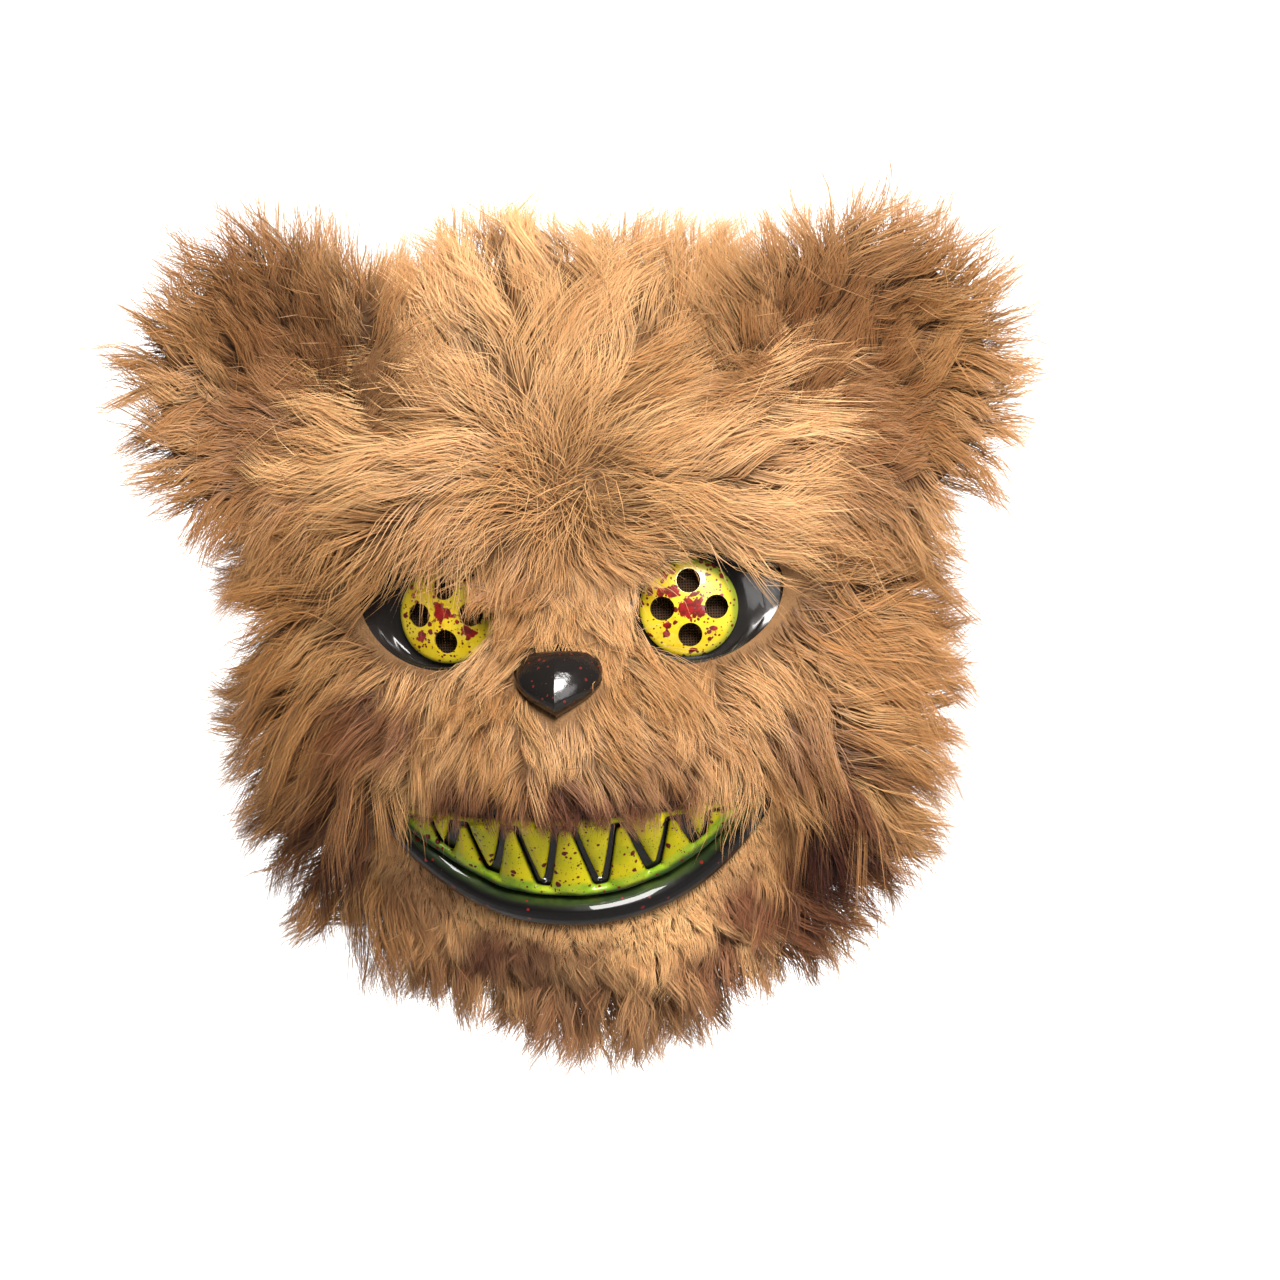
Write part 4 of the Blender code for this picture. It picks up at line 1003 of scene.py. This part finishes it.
def pile_length(place):
    """How long the hair stands at each place, and how much of it is the shaved band at the grin."""
    x, z = np.abs(place[:, 0]), place[:, 2]
    length = 28 * MM + 5 * MM * smoothstep((rim_share(place[:, 0], place[:, 2])[0] - 0.6) / 0.3)
    chin = smoothstep((-76 * MM - z) / (20 * MM))
    tuft = 13 * MM * smoothstep(1.4 - np.abs(place[:, 0] - 3 * MM) / (22 * MM))
    length = length + chin * (tuft - 9 * MM * smoothstep((x - 22 * MM) / (20 * MM)))
    for spot, reach, sharpness, stands in SHORTER_PILE:
        length = length + (stands * MM - length) * patch(x, z, spot, reach, sharpness)
    below_lip = (lip_z(np.minimum(x, 1.1 * MOUTH_HALF_WIDTH)) - LIP_WIDTH / 2 - z) / (30 * MM)
    shaved = smoothstep(1.15 - below_lip) * (below_lip > -0.2) * smoothstep((68 * MM - x) / (12 * MM))
    shaved = np.where(z < -48 * MM, shaved, 0)
    return length + (SHAVED_LENGTH - length) * shaved, shaved


# Stains on the fur, in millimetres: x and z of the middle, half width, half height, and strength
STAINS = (
    (-50, -28, 13, 12, 0.85), (9, -46, 24, 7, 1.0), (64, -64, 12, 12, 1.0), (49, -80, 14, 10, 1.0),
    (36, -95, 12, 7, 0.9), (-24, -91, 24, 7, 1.0), (-64, -52, 12, 16, 0.6), (-44, -76, 12, 9, 0.6),
    (22, -38, 12, 8, 0.4), (-26, -45, 14, 8, 0.9), (56, -32, 7, 12, 0.7), (64, -47, 5, 12, 0.9),
    (-58, -47, 14, 4, 0.8), (-8, -103, 20, 6, 0.7), (-62, -58, 6, 10, 1.0), (63, -57, 6, 13, 1.0),
    (-6, -49, 40, 4, 0.8), (14, -101, 26, 6, 0.5),
)


def darkening_and_shade(place):
    """How far the fur is painted darker and browner than on the forehead: most on the cheeks, less at the ear
    roots, the left brow and the muzzle; on the left brow it is painted shade, on the side away from the
    light.
    """
    x, z = place[:, 0] / MM, place[:, 2] / MM
    cheek = smoothstep((np.abs(x) - 38) / 22) * smoothstep((34 - z) / 24)
    # The brow's share is painted shade: darker on the left, away from the light on the upper right.
    brow = 0.45 * smoothstep((30 - x) / 50) * smoothstep(1.5 - np.abs(z - 14) / 18)
    muzzle = 0.40 * smoothstep(1.6 - np.hypot(x / 46, (z + 30) / 24))
    ear = 0.60 * smoothstep((np.abs(x) - 78) / 12) * smoothstep((z - 20) / 14)
    return np.maximum(np.maximum(cheek * 0.85, brow), np.maximum(muzzle, ear))


def fur_colours(roots, steps, rng, clump_tone, painted_shade=None):
    """Root to tip colours of each hair, with painted shade at the roots, the stains, the locks' own tones and
    any further painted shade given.
    """
    count = len(roots)
    shaved = (pile_length(roots)[1] * (roots[:, 1] < 60 * MM))[:, None, None]
    share = np.linspace(0, 1, steps)[None, :, None]
    tone = clump_tone[:, None, None] * 0.5 * (1 - 0.6 * shaved) + 0.5
    # Painted darker and browner on cheeks, muzzle and ear roots, with painted shade on the left brow.
    tone = tone - 0.9 * darkening_and_shade(roots)[:, None, None] + 0.35 * shaved
    tone = np.clip(tone + rng.normal(0, 0.10, (count, 1, 1)), -0.25, 1)
    body = FUR_TAN + (FUR_LIGHT - FUR_TAN) * tone
    body = body * (1 + 0.25 * shaved)
    # Dark roots: painted shade deep in the pile, less of it on the shaved band.
    colour = FUR_ROOT_SHADE + (body - FUR_ROOT_SHADE) * smoothstep(share * 1.35 + 0.10 + 0.55 * shaved)
    warm = rng.normal(0, 0.05, (count, 1, 1)) * np.array([1.0, -0.1, -0.6])
    colour = colour * (1 + warm)
    x, z = roots[:, 0] / MM, roots[:, 2] / MM
    ragged = wander(roots, 45, 5) * 0.35
    for u, v, wide, tall, strength in STAINS:
        stain = smoothstep(1.35 - np.hypot((x - u) / wide, (z - v) / tall) + ragged) * strength
        stain = np.where(roots[:, 1] < 45 * MM, stain, 0)[:, None, None]
        colour = colour * (1 - stain * (1 - STAIN_TINT))
    # Painted shade: the hair is darkened where the caller asks, as in the ears' hollows.
    if painted_shade is not None:
        colour = colour * (1 - painted_shade[:, None, None] * np.array([0.45, 0.55, 0.6]))
    return np.clip(colour, 0.004, 1)


def grow_fur(
    name, roots, root_normals, comb, length, lift, rng, nodes, segments=4, painted_shade=None, settle=True
):
    """Hair in pointed locks: small locks that lean into larger ones, each with its own curl."""
    long = np.clip(length / (26 * MM), 0, 1)
    spread = math.sqrt(float(np.mean(long)))
    small = roots[rng.choice(len(roots), max(int(len(roots) / (HAIRS_IN_LOCK * spread)), 12), replace=False)]
    own = nearest(roots, small)
    big = small[rng.choice(len(small), max(len(small) // LOCKS_IN_TUFT, 4), replace=False)]
    parent = nearest(small, big)[own]
    guide_root, group = small[own], big[parent]

    def per_lock(spread_small, spread_big):
        """One random value for each small lock, and one for each large, added up for each hair."""
        return rng.normal(0, spread_small, len(small))[own] + rng.normal(0, spread_big, len(big))[parent]

    side = unit(np.cross(comb, root_normals))
    stray = rng.uniform(0, 1, len(roots)) < STRAYS
    under = (rng.uniform(0, 1, len(roots)) < UNDERCOAT) & (length > 12 * MM)
    lean = wander(group, 14, 1) * 0.30 + per_lock(0.14, 0.26) + rng.normal(0, 0.07, len(roots))
    lean = lean + np.where(stray, rng.normal(0, 0.6, len(roots)), 0)
    way = unit(comb * np.cos(lean)[:, None] + side * np.sin(lean)[:, None])
    rise = lift * (1 + 0.25 * wander(group, 25, 3)) + per_lock(0.07, 0.10) + rng.normal(0, 0.04, len(roots))
    rise = np.clip(rise + np.where(stray, 0.2, 0), 0.12, 1.35)
    reach = length * (1 + np.clip(per_lock(0.09, 0.08), -0.25, 0.25)) * rng.uniform(0.70, 1.06, len(roots))
    reach = reach * np.where(under, rng.uniform(0.45, 0.72, len(roots)), 1)
    curl = np.clip(per_lock(0.12, 0.20), -0.5, 0.5) * long
    sway = (0.035 + np.abs(per_lock(0.015, 0.025))) * reach * (0.3 + long)
    phase = per_lock(0.5, 2.0)
    share = np.linspace(0, 1, segments + 1)[None, :, None]
    column = (slice(None), None, None)
    out = way[:, None] * (np.cos(rise)[column] * share + 0.16 * share**2)
    out = out + root_normals[:, None] * (np.sin(rise)[column] * (share - 0.30 * share**2))
    out = out + side[:, None] * curl[column] * share**2
    out = out + np.array([0, 0, -0.08]) * share**2 * long[column]
    curve = (roots + root_normals * PELT_RISE)[:, None] + out * reach[column]
    wave = np.sin(share * 6.6 + phase[column]) - np.sin(phase)[column]
    curve = curve + side[:, None] * wave * sway[column]
    loose = np.where(stray | under, 0.2, 1) * (0.12 + 0.88 * long)
    curve = curve + (guide_root - roots)[:, None] * (0.88 * loose)[column] * share**0.85
    curve = curve + (group - guide_root)[:, None] * (0.60 * loose)[column] * share**1.3
    if settle:
        x, z = curve[..., 0], curve[..., 2]
        inside, _ = rim_share(x, z)
        clear = PELT_RISE + 0.3 * MM + 2.0 * MM * share[..., 0] * (reach / (20 * MM))[:, None]
        sink = np.maximum(curve[..., 1] - (on_face(x, z)[..., 1] - clear), 0)
        near_rim = np.where(inside < 0.96, np.minimum(sink, 12 * MM), 0)
        curve[..., 1] -= np.where(inside < 0.90, sink, near_rim)
    tone = per_lock(0.32, 0.38)
    colours = fur_colours(roots, segments + 1, rng, tone, painted_shade)
    half = HAIR_HALF * rng.uniform(0.75, 1.2, len(roots)) * (0.62 + 0.38 * long)
    fur = hair_mesh(name, root_normals, curve, half, colours)
    add_piece(fur, "fur", *nodes, finish=fur_fibre)
    return fur


fur_fibre = Finish(
    "fur fibre", Roughness=0.52, Specular_IOR_Level=0.35, Sheen_Weight=0.12, Sheen_Roughness=0.4
)
fur_fibre.set("Base Color", fur_fibre.attribute("hair_colour", "Color"))

rng = np.random.default_rng(11)
roots, normals, shares, weight = sample_face(FACE_SAMPLES, rng)
length, shaved = pile_length(roots)
short = smoothstep((20 * MM - length) / (10 * MM))
density = weight * (1.0 + 0.75 * short + 2.0 * shaved)
keep = rng.uniform(0, np.quantile(weight, 0.99) * THINNING, len(density)) < density
keep = keep & (inside_openings(roots, 0.0) < 0)
roots, normals, shares, length = roots[keep], normals[keep], shares[keep], length[keep]
away = roots - COMB_MIDDLE
swirl = smoothstep(1.3 - np.linalg.norm(away, axis=1) / (16 * MM))
away = away + rng.normal(0, 7 * MM, away.shape) * swirl[:, None]
x, z = roots[:, 0], roots[:, 2]
over_eye = patch(np.abs(x), z, (34, 20, 26, 7), 1.8) * np.where(x < 0, 0.85, 0.0)
away = away + np.array([0, 0, -1.0]) * (np.linalg.norm(away, axis=1) * over_eye * 0.60)[:, None]
comb = unit(away - normals * np.sum(away * normals, axis=1)[:, None])
tip = roots + comb * length[:, None] * 0.75 + normals * 3 * MM
crossing = np.maximum(inside_openings(tip, -3.0 * MM), inside_openings((roots + tip) / 2, -3.0 * MM))
inner_corner = patch(x, z, (-17, -3, 11, 15), 1.6)
fringe = patch(np.abs(x - 2 * MM), z, (37, -46, 13, 7), 1.6)
few = np.where(x > 0, 0.008, 0.02) + 0.10 * over_eye + 0.22 * fringe
spared = (crossing < 0) | (rng.uniform(0, 1, len(roots)) < few) | (length < 9 * MM)
hanging = patch(x, z, (0, -47, 46, 6), 1.4)
trimmed = (7 + 5 * over_eye + 8 * inner_corner + 2.2 * hanging) * MM
length = np.where(spared, length, np.minimum(length, trimmed))
lift = 0.40 + 0.80 * smoothstep((shares - 0.42) / 0.42)
lift = np.where(length < 16 * MM, 0.45, lift) + 0.5 * swirl
long_part = length > 7 * MM
middle = np.abs(x) <= 40 * MM
regions = {
    "fur_forehead_left": (z > 34 * MM) & (x <= 0),
    "fur_forehead_right": (z > 34 * MM) & (x > 0),
    "fur_brow": (z > 2 * MM) & (z <= 34 * MM),
    "fur_cheek_left": (z <= 2 * MM) & (x < -40 * MM) & (z > -75 * MM) & long_part,
    "fur_cheek_right": (z <= 2 * MM) & (x > 40 * MM) & (z > -75 * MM) & long_part,
    "fur_muzzle": (z <= 2 * MM) & middle & (z > -62 * MM) & long_part,
    "fur_chin": ((z <= -75 * MM) | (middle & (z <= -62 * MM))) & long_part,
    "fur_lip_band": (z <= 2 * MM) & ~long_part,
}
for name, mask in regions.items():
    grow_fur(
        name, roots[mask], normals[mask], comb[mask], length[mask], lift[mask],
        np.random.default_rng(len(name) + 3), ["fur_cover"],
        segments=3 if name in ("fur_muzzle", "fur_lip_band") else 4,
    )


# The ears: two cups of the same fur fabric, padded and sewn to the cover at the temples, with
# long hair fanning out from the rim and painted shade on the hair in the hollow towards the forehead.

EAR_X, EAR_Y, EAR_Z = 80 * MM, 30 * MM, 61 * MM
EAR_RADIUS, EAR_CUP, EAR_THICKNESS = 37 * MM, 11 * MM, 13 * MM
EAR_TURN = math.radians(14)
EAR_HAIRS, HAIRS_IN_FRONT = 15500, 0.60


def ear_look(side):
    return np.array([side * math.sin(EAR_TURN), -math.cos(EAR_TURN), 0.0])


def ear_place(side, turn, radius, face):
    """A place on the ear: face is 1 in front, -1 behind."""
    look = ear_look(side)
    across = np.array([-look[1], look[0], 0.0])
    middle = -EAR_CUP * (1 - radius**2) + face * EAR_THICKNESS / 2 * np.sqrt(np.clip(1 - radius**4, 0, 1))
    ring = ring_way(turn, across, np.array([0.0, 0.0, 1.0])) * (radius * EAR_RADIUS)[:, None]
    return np.array([side * EAR_X, EAR_Y, EAR_Z]) + ring + look * middle[:, None]


# The ears' backing is painted darker still than the face's, as painted shade between the hairs.
ear_shade_cloth = Finish("ear backing shade", Roughness=0.95, Specular_IOR_Level=0.15)
ear_shade_cloth.colour(ear_shade_cloth.blotches(300), (0.08, 0.042, 0.02), (0.14, 0.075, 0.04))
ear_shade_cloth.bump(ear_shade_cloth.blotches(1500, 3), 0.0006, 0.8)
for side in (LEFT, RIGHT):
    name = f"ear_{SIDES[side]}"

    def body(turn, share):
        face = np.where(share <= 0.5, 1, -1)
        radius = np.sin(np.where(share <= 0.5, share, 1 - share) * math.pi)
        return ear_place(side, turn, radius * 0.985, face)

    cup = rolled_disc(f"{name}_cup", 64, 40, body)
    co = vertex_places(cup)
    share_there, _ = rim_share(co[:, 0], co[:, 2])
    buried = (share_there < 0.99) & (co[:, 1] > on_face(co[:, 0], co[:, 2])[:, 1] - 0.5 * MM)
    delete_vertices(cup, buried)
    select_only(cup)
    bpy.ops.object.shade_smooth()
    add_piece(cup, "fur", finish=ear_shade_cloth)

    rng = np.random.default_rng(40 + side)
    turn, radius = rng.uniform(0, 2 * math.pi, EAR_HAIRS), np.sqrt(rng.uniform(0, 1, EAR_HAIRS))
    face = np.where(rng.uniform(0, 1, EAR_HAIRS) < HAIRS_IN_FRONT, 1, -1)
    spots = ear_place(side, turn, radius, face)
    step = 0.01
    inner, outer = np.minimum(radius, 0.995) - step, np.minimum(radius + step, 0.995)
    normal = unit(np.cross(
        ear_place(side, turn, outer, face) - ear_place(side, turn, inner, face),
        ear_place(side, turn + step, radius, face) - ear_place(side, turn - step, radius, face),
    ))
    outside = spots - ear_place(side, turn, radius, 0 * face)
    normal = normal * np.sign(np.sum(normal * outside, axis=1) + 1e-9)[:, None]
    look = ear_look(side)
    hub = np.array([side * (EAR_X - 18 * MM), EAR_Y, EAR_Z - 14 * MM])
    radial = spots - hub
    comb = unit(radial - look * (radial @ look)[:, None])
    rim = smoothstep((radius - 0.75) / 0.25)
    inside, _ = rim_share(spots[:, 0], spots[:, 2])
    keep = (inside > 1.0) | (spots[:, 1] < on_face(spots[:, 0], spots[:, 2])[:, 1] - 1 * MM)
    near_head = smoothstep(0.9 - side * (spots[:, 0] - side * EAR_X) / (34 * MM))
    # The hollow towards the head: its hair is shorter, and painted darker as painted shade.
    hollow = smoothstep(1.6 - 1.2 * radius) * (face > 0) * near_head
    lift = np.where(face > 0, 0.60, 0.42) * (1 - 0.55 * rim)
    crest = smoothstep((radius * (np.sin(turn) - side * 0.35 * np.cos(turn)) - 0.35) / 0.5)
    length = (17.5 + 3.5 * rim - 4 * hollow + 4 * crest) * MM
    at_hub = smoothstep(1.6 - np.linalg.norm(radial, axis=1) / (10 * MM)) * (face > 0)
    length = length * (1 - 0.5 * at_hub)
    # The hair at the hub is painted darker too, as painted shade.
    hollow = np.maximum(hollow, at_hub)
    grow_fur(
        f"{name}_fur", spots[keep], normal[keep], comb[keep], length[keep], lift[keep],
        np.random.default_rng(60 + side), [name], painted_shade=hollow[keep], settle=False,
    )


# The strap: a flat woven elastic band round the back of the head, riveted at both temples.

STRAP_WIDTH, STRAP_THICKNESS = 10 * MM, 1.2 * MM
STRAP_BACK_Y, STRAP_INSET = 176 * MM, 1.4 * MM
TAIL_SHARES = (0.80, 0.835, 0.87)
RIVET_HEAD_RADIUS, RIVET_HEAD = 3.6 * MM, 1.1 * MM


def strap_line():
    """The middle line of the band, from one tail round the head to the other."""
    inset = SHELL_WALL + STRAP_INSET + STRAP_THICKNESS / 2
    angle = temple_angle(RIGHT)
    shares = np.array([*TAIL_SHARES, ANCHOR_SHARE])
    tail = round_face(angle + 0 * shares, shares) - round_normal(angle + 0 * shares, shares) * inset
    tail[:, 2] = ANCHOR_Z
    end = tail[-1]
    turn = np.linspace(0, math.pi, 60)[1:-1]
    sweep = np.stack([
        end[0] * np.cos(turn), end[1] + (STRAP_BACK_Y - end[1]) * np.sin(turn) ** 0.9, ANCHOR_Z + 0 * turn
    ], axis=1)
    rough = np.concatenate([tail, sweep, tail[::-1] * np.array([-1, 1, 1])])
    run = np.concatenate([[0], np.cumsum(np.linalg.norm(np.diff(rough, axis=0), axis=1))])
    fine = np.linspace(0, run[-1], 700)
    line = np.stack([np.interp(fine, run, rough[:, i]) for i in range(3)], axis=1)
    for _ in range(12):
        line[1:-1] = (line[:-2] + 2 * line[1:-1] + line[2:]) / 4
    return line, run[-1]


band_line, band_length = strap_line()
along = unit(np.gradient(band_line, axis=0))
outward = unit(np.cross(along, np.array([0, 0, 1.0])))
CORDS_ACROSS = 9
WEFT_PITCH, WARP_PITCH = 7000, 5654


def band_section(turn, share):
    """share runs along the band, and turn round its rounded section with its ribbed cords."""
    place = share * (len(band_line) - 1)
    index = np.minimum(place.astype(int), len(band_line) - 2)
    part = (place - index)[:, None]
    centre = band_line[index] * (1 - part) + band_line[index + 1] * part
    out = outward[index]
    wide = np.copysign(np.abs(np.cos(turn)) ** 0.35, np.cos(turn))
    thick = np.copysign(np.abs(np.sin(turn)) ** 0.6, np.sin(turn))
    cords = 1 - 0.10 * (0.5 + 0.5 * np.cos(wide * CORDS_ACROSS * math.pi))
    up = wide * STRAP_WIDTH / 2
    side = thick * STRAP_THICKNESS / 2 * cords
    return centre + out * side[:, None] + np.array([0, 0, 1.0]) * up[:, None]


band, grid = new_grid("strap_band", 40, 220)
move_vertices(band, band_section(grid[:, 0] * 2 * math.pi, grid[:, 1]))
store(band, "along", grid[:, 1] * band_length)
clean_up(band)
close_ends(band, bpy.ops.mesh.fill_holes, sides=0)
for side in (LEFT, RIGHT):
    drill(band, *strap_anchor(side), RIVET_RADIUS + 0.15 * MM, 16 * MM)
smooth_by_angle(band, 50)
elastic = Finish("woven elastic", Roughness=0.85, Sheen_Weight=0.2, Specular_IOR_Level=0.25)
height = elastic.node("ShaderNodeSeparateXYZ", None, elastic.place(), output=2)
picks = elastic.maths("SINE", elastic.attribute("along") * WEFT_PITCH)
cords = elastic.maths("SINE", height * WARP_PITCH)
weave = picks * cords
elastic.colour(weave.within(-0.6, 0.8), (0.008, 0.008, 0.008), (0.035, 0.033, 0.031))
elastic.bump(weave + elastic.blotches(900, 2), 0.0004, 0.7)
add_piece(band, "elastic", "strap", finish=elastic)


# The rivets: a tubular steel shank through shell and band, with a low domed head on each side,
# set by a hand press so that the band can't pull off.

rivet_metal = Finish("rivet steel", Metallic=1.0, Roughness=0.35)
rivet_metal.colour(rivet_metal.blotches(500), (0.30, 0.29, 0.27), (0.50, 0.48, 0.45))
rivet_metal.bump(rivet_metal.blotches(2200, 3), 0.0002, 0.4)

# The rivet's section from inner to outer head: radius, height on its head, and which head
RIVET_PROFILE = (
    (0.0, -1.0, 0.0), (0.55, -0.96, 0.0), (0.85, -0.78, 0.0), (1.0, -0.35, 0.0), (0.98, 0.0, 0.0),
    (0.42, 0.0, 0.0), (0.42, 0.0, 1.0), (0.98, 0.0, 1.0), (1.0, 0.35, 1.0), (0.85, 0.78, 1.0),
    (0.55, 0.96, 1.0), (0.30, 0.98, 1.0), (0.26, 0.55, 1.0), (0.0, 0.50, 1.0),
)
for side in (LEFT, RIGHT):
    place, axis = strap_anchor(side)
    inner = -(SHELL_WALL + STRAP_INSET + STRAP_THICKNESS + 0.45 * MM)
    outer = 0.3 * MM
    across = unit(np.cross(axis, np.array([0, 0, 1.0])))
    upward = np.cross(axis, across)
    profile = np.array(RIVET_PROFILE)

    def turned(turn, share):
        spot = np.clip(share, 0, 1) * (len(profile) - 1)
        radius = np.interp(spot, range(len(profile)), profile[:, 0]) * RIVET_HEAD_RADIUS
        head = np.interp(spot, range(len(profile)), profile[:, 1]) * RIVET_HEAD
        which = np.interp(spot, range(len(profile)), profile[:, 2])
        lift = inner + (outer - inner) * which + head
        return place + ring_way(turn, across, upward) * radius[:, None] + axis * lift[:, None]

    rivet = rolled_disc(f"rivet_{SIDES[side]}", 32, 39, turned)
    clean_up(rivet)
    smooth_by_angle(rivet, 45)
    add_piece(rivet, "rivet", f"strap_rivet_{SIDES[side]}", finish=rivet_metal)


# The picture: a plain paper sweep, grey in front and pale behind, so that the gloss stays dark,
# with soft light from the upper right and the photograph's camera.

SWEEP_WIDTH, SWEEP_LENGTH = 7.0, 7.0
SWEEP_FRONT, SWEEP_FLAT, SWEEP_BEND, SWEEP_DROP = -0.85, 3.2, 0.8, 0.32
paper = Finish("paper", Roughness=0.9, Specular_IOR_Level=0.1)
back_there = paper.node("ShaderNodeSeparateXYZ", None, paper.place(), output=1).within(-0.1, 1.2)
paper.colour(back_there, (0.24, 0.24, 0.24), (0.86, 0.86, 0.86))
sweep, grid = new_grid("paper_sweep", 2, 60)
run, bend_length = grid[:, 1] * SWEEP_LENGTH, SWEEP_BEND * math.pi / 2
bend = np.clip((run - SWEEP_FLAT) / bend_length, 0, 1) * math.pi / 2
depth = np.minimum(run, SWEEP_FLAT) + SWEEP_FRONT + SWEEP_BEND * np.sin(bend)
rise = SWEEP_BEND * (1 - np.cos(bend)) + np.maximum(run - SWEEP_FLAT - bend_length, 0)
across = (grid[:, 0] - 0.5) * SWEEP_WIDTH
move_vertices(sweep, np.stack([across, depth, CHIN_Z - SWEEP_DROP + rise], axis=1))
select_only(sweep)
bpy.ops.object.shade_smooth()
sweep.data.materials.append(paper.material)


def soft_light(name, place, target, size, watts, colour=(1, 1, 1)):
    data = bpy.data.lights.new(name, "AREA")
    data.shape, data.size, data.energy, data.color = "RECTANGLE", size[0], watts, colour
    data.size_y = size[1]
    lamp = bpy.data.objects.new(name, data)
    lamp.location = place
    lamp.rotation_euler = (Vector(target) - Vector(place)).to_track_quat("-Z", "Y").to_euler()
    bpy.context.scene.collection.objects.link(lamp)


soft_light("key", (0.50, -1.35, 1.10), (0, 0, 0.02), (0.9, 0.7), 66, (1.0, 0.97, 0.94))
soft_light("fill", (1.3, -1.5, 0.35), (0, 0, 0), (0.9, 1.2), 12, (1.0, 0.98, 0.96))
soft_light("rim", (-0.5, 1.1, 1.1), (0, 0, 0.05), (0.8, 0.5), 10)
soft_light("backdrop", (0.0, 1.0, 1.6), (0, 3.2, 0.5), (3.0, 0.6), 150)

world = bpy.data.worlds.new("studio")
world.use_nodes = True
background = world.node_tree.nodes["Background"].inputs
background["Color"].default_value = (0.78, 0.80, 0.82, 1)
background["Strength"].default_value = 0.10
bpy.context.scene.world = world
bpy.context.scene.view_settings.view_transform = "Standard"

AZIMUTH, ELEVATION, ROLL = math.radians(6.5), math.radians(3), math.radians(2.0)
DISTANCE, LENS = 1.75, 180
backward = Vector((
    math.sin(AZIMUTH) * math.cos(ELEVATION), -math.cos(AZIMUTH) * math.cos(ELEVATION), math.sin(ELEVATION)
))
level = Vector((math.cos(AZIMUTH), math.sin(AZIMUTH), 0))
above = backward.cross(level)
rightward = level * math.cos(ROLL) - above * math.sin(ROLL)
upward = level * math.sin(ROLL) + above * math.cos(ROLL)
target = Vector((0, 0.010, 0)) + rightward * 0.0202 - upward * 0.0078
camera_data = bpy.data.cameras.new("camera")
camera_data.lens, camera_data.sensor_width = LENS, 36
camera = bpy.data.objects.new("camera", camera_data)
camera.matrix_world = Matrix((
    (rightward.x, upward.x, backward.x, target.x + backward.x * DISTANCE),
    (rightward.y, upward.y, backward.y, target.y + backward.y * DISTANCE),
    (rightward.z, upward.z, backward.z, target.z + backward.z * DISTANCE),
    (0, 0, 0, 1),
))
bpy.context.scene.collection.objects.link(camera)
bpy.context.scene.camera = camera
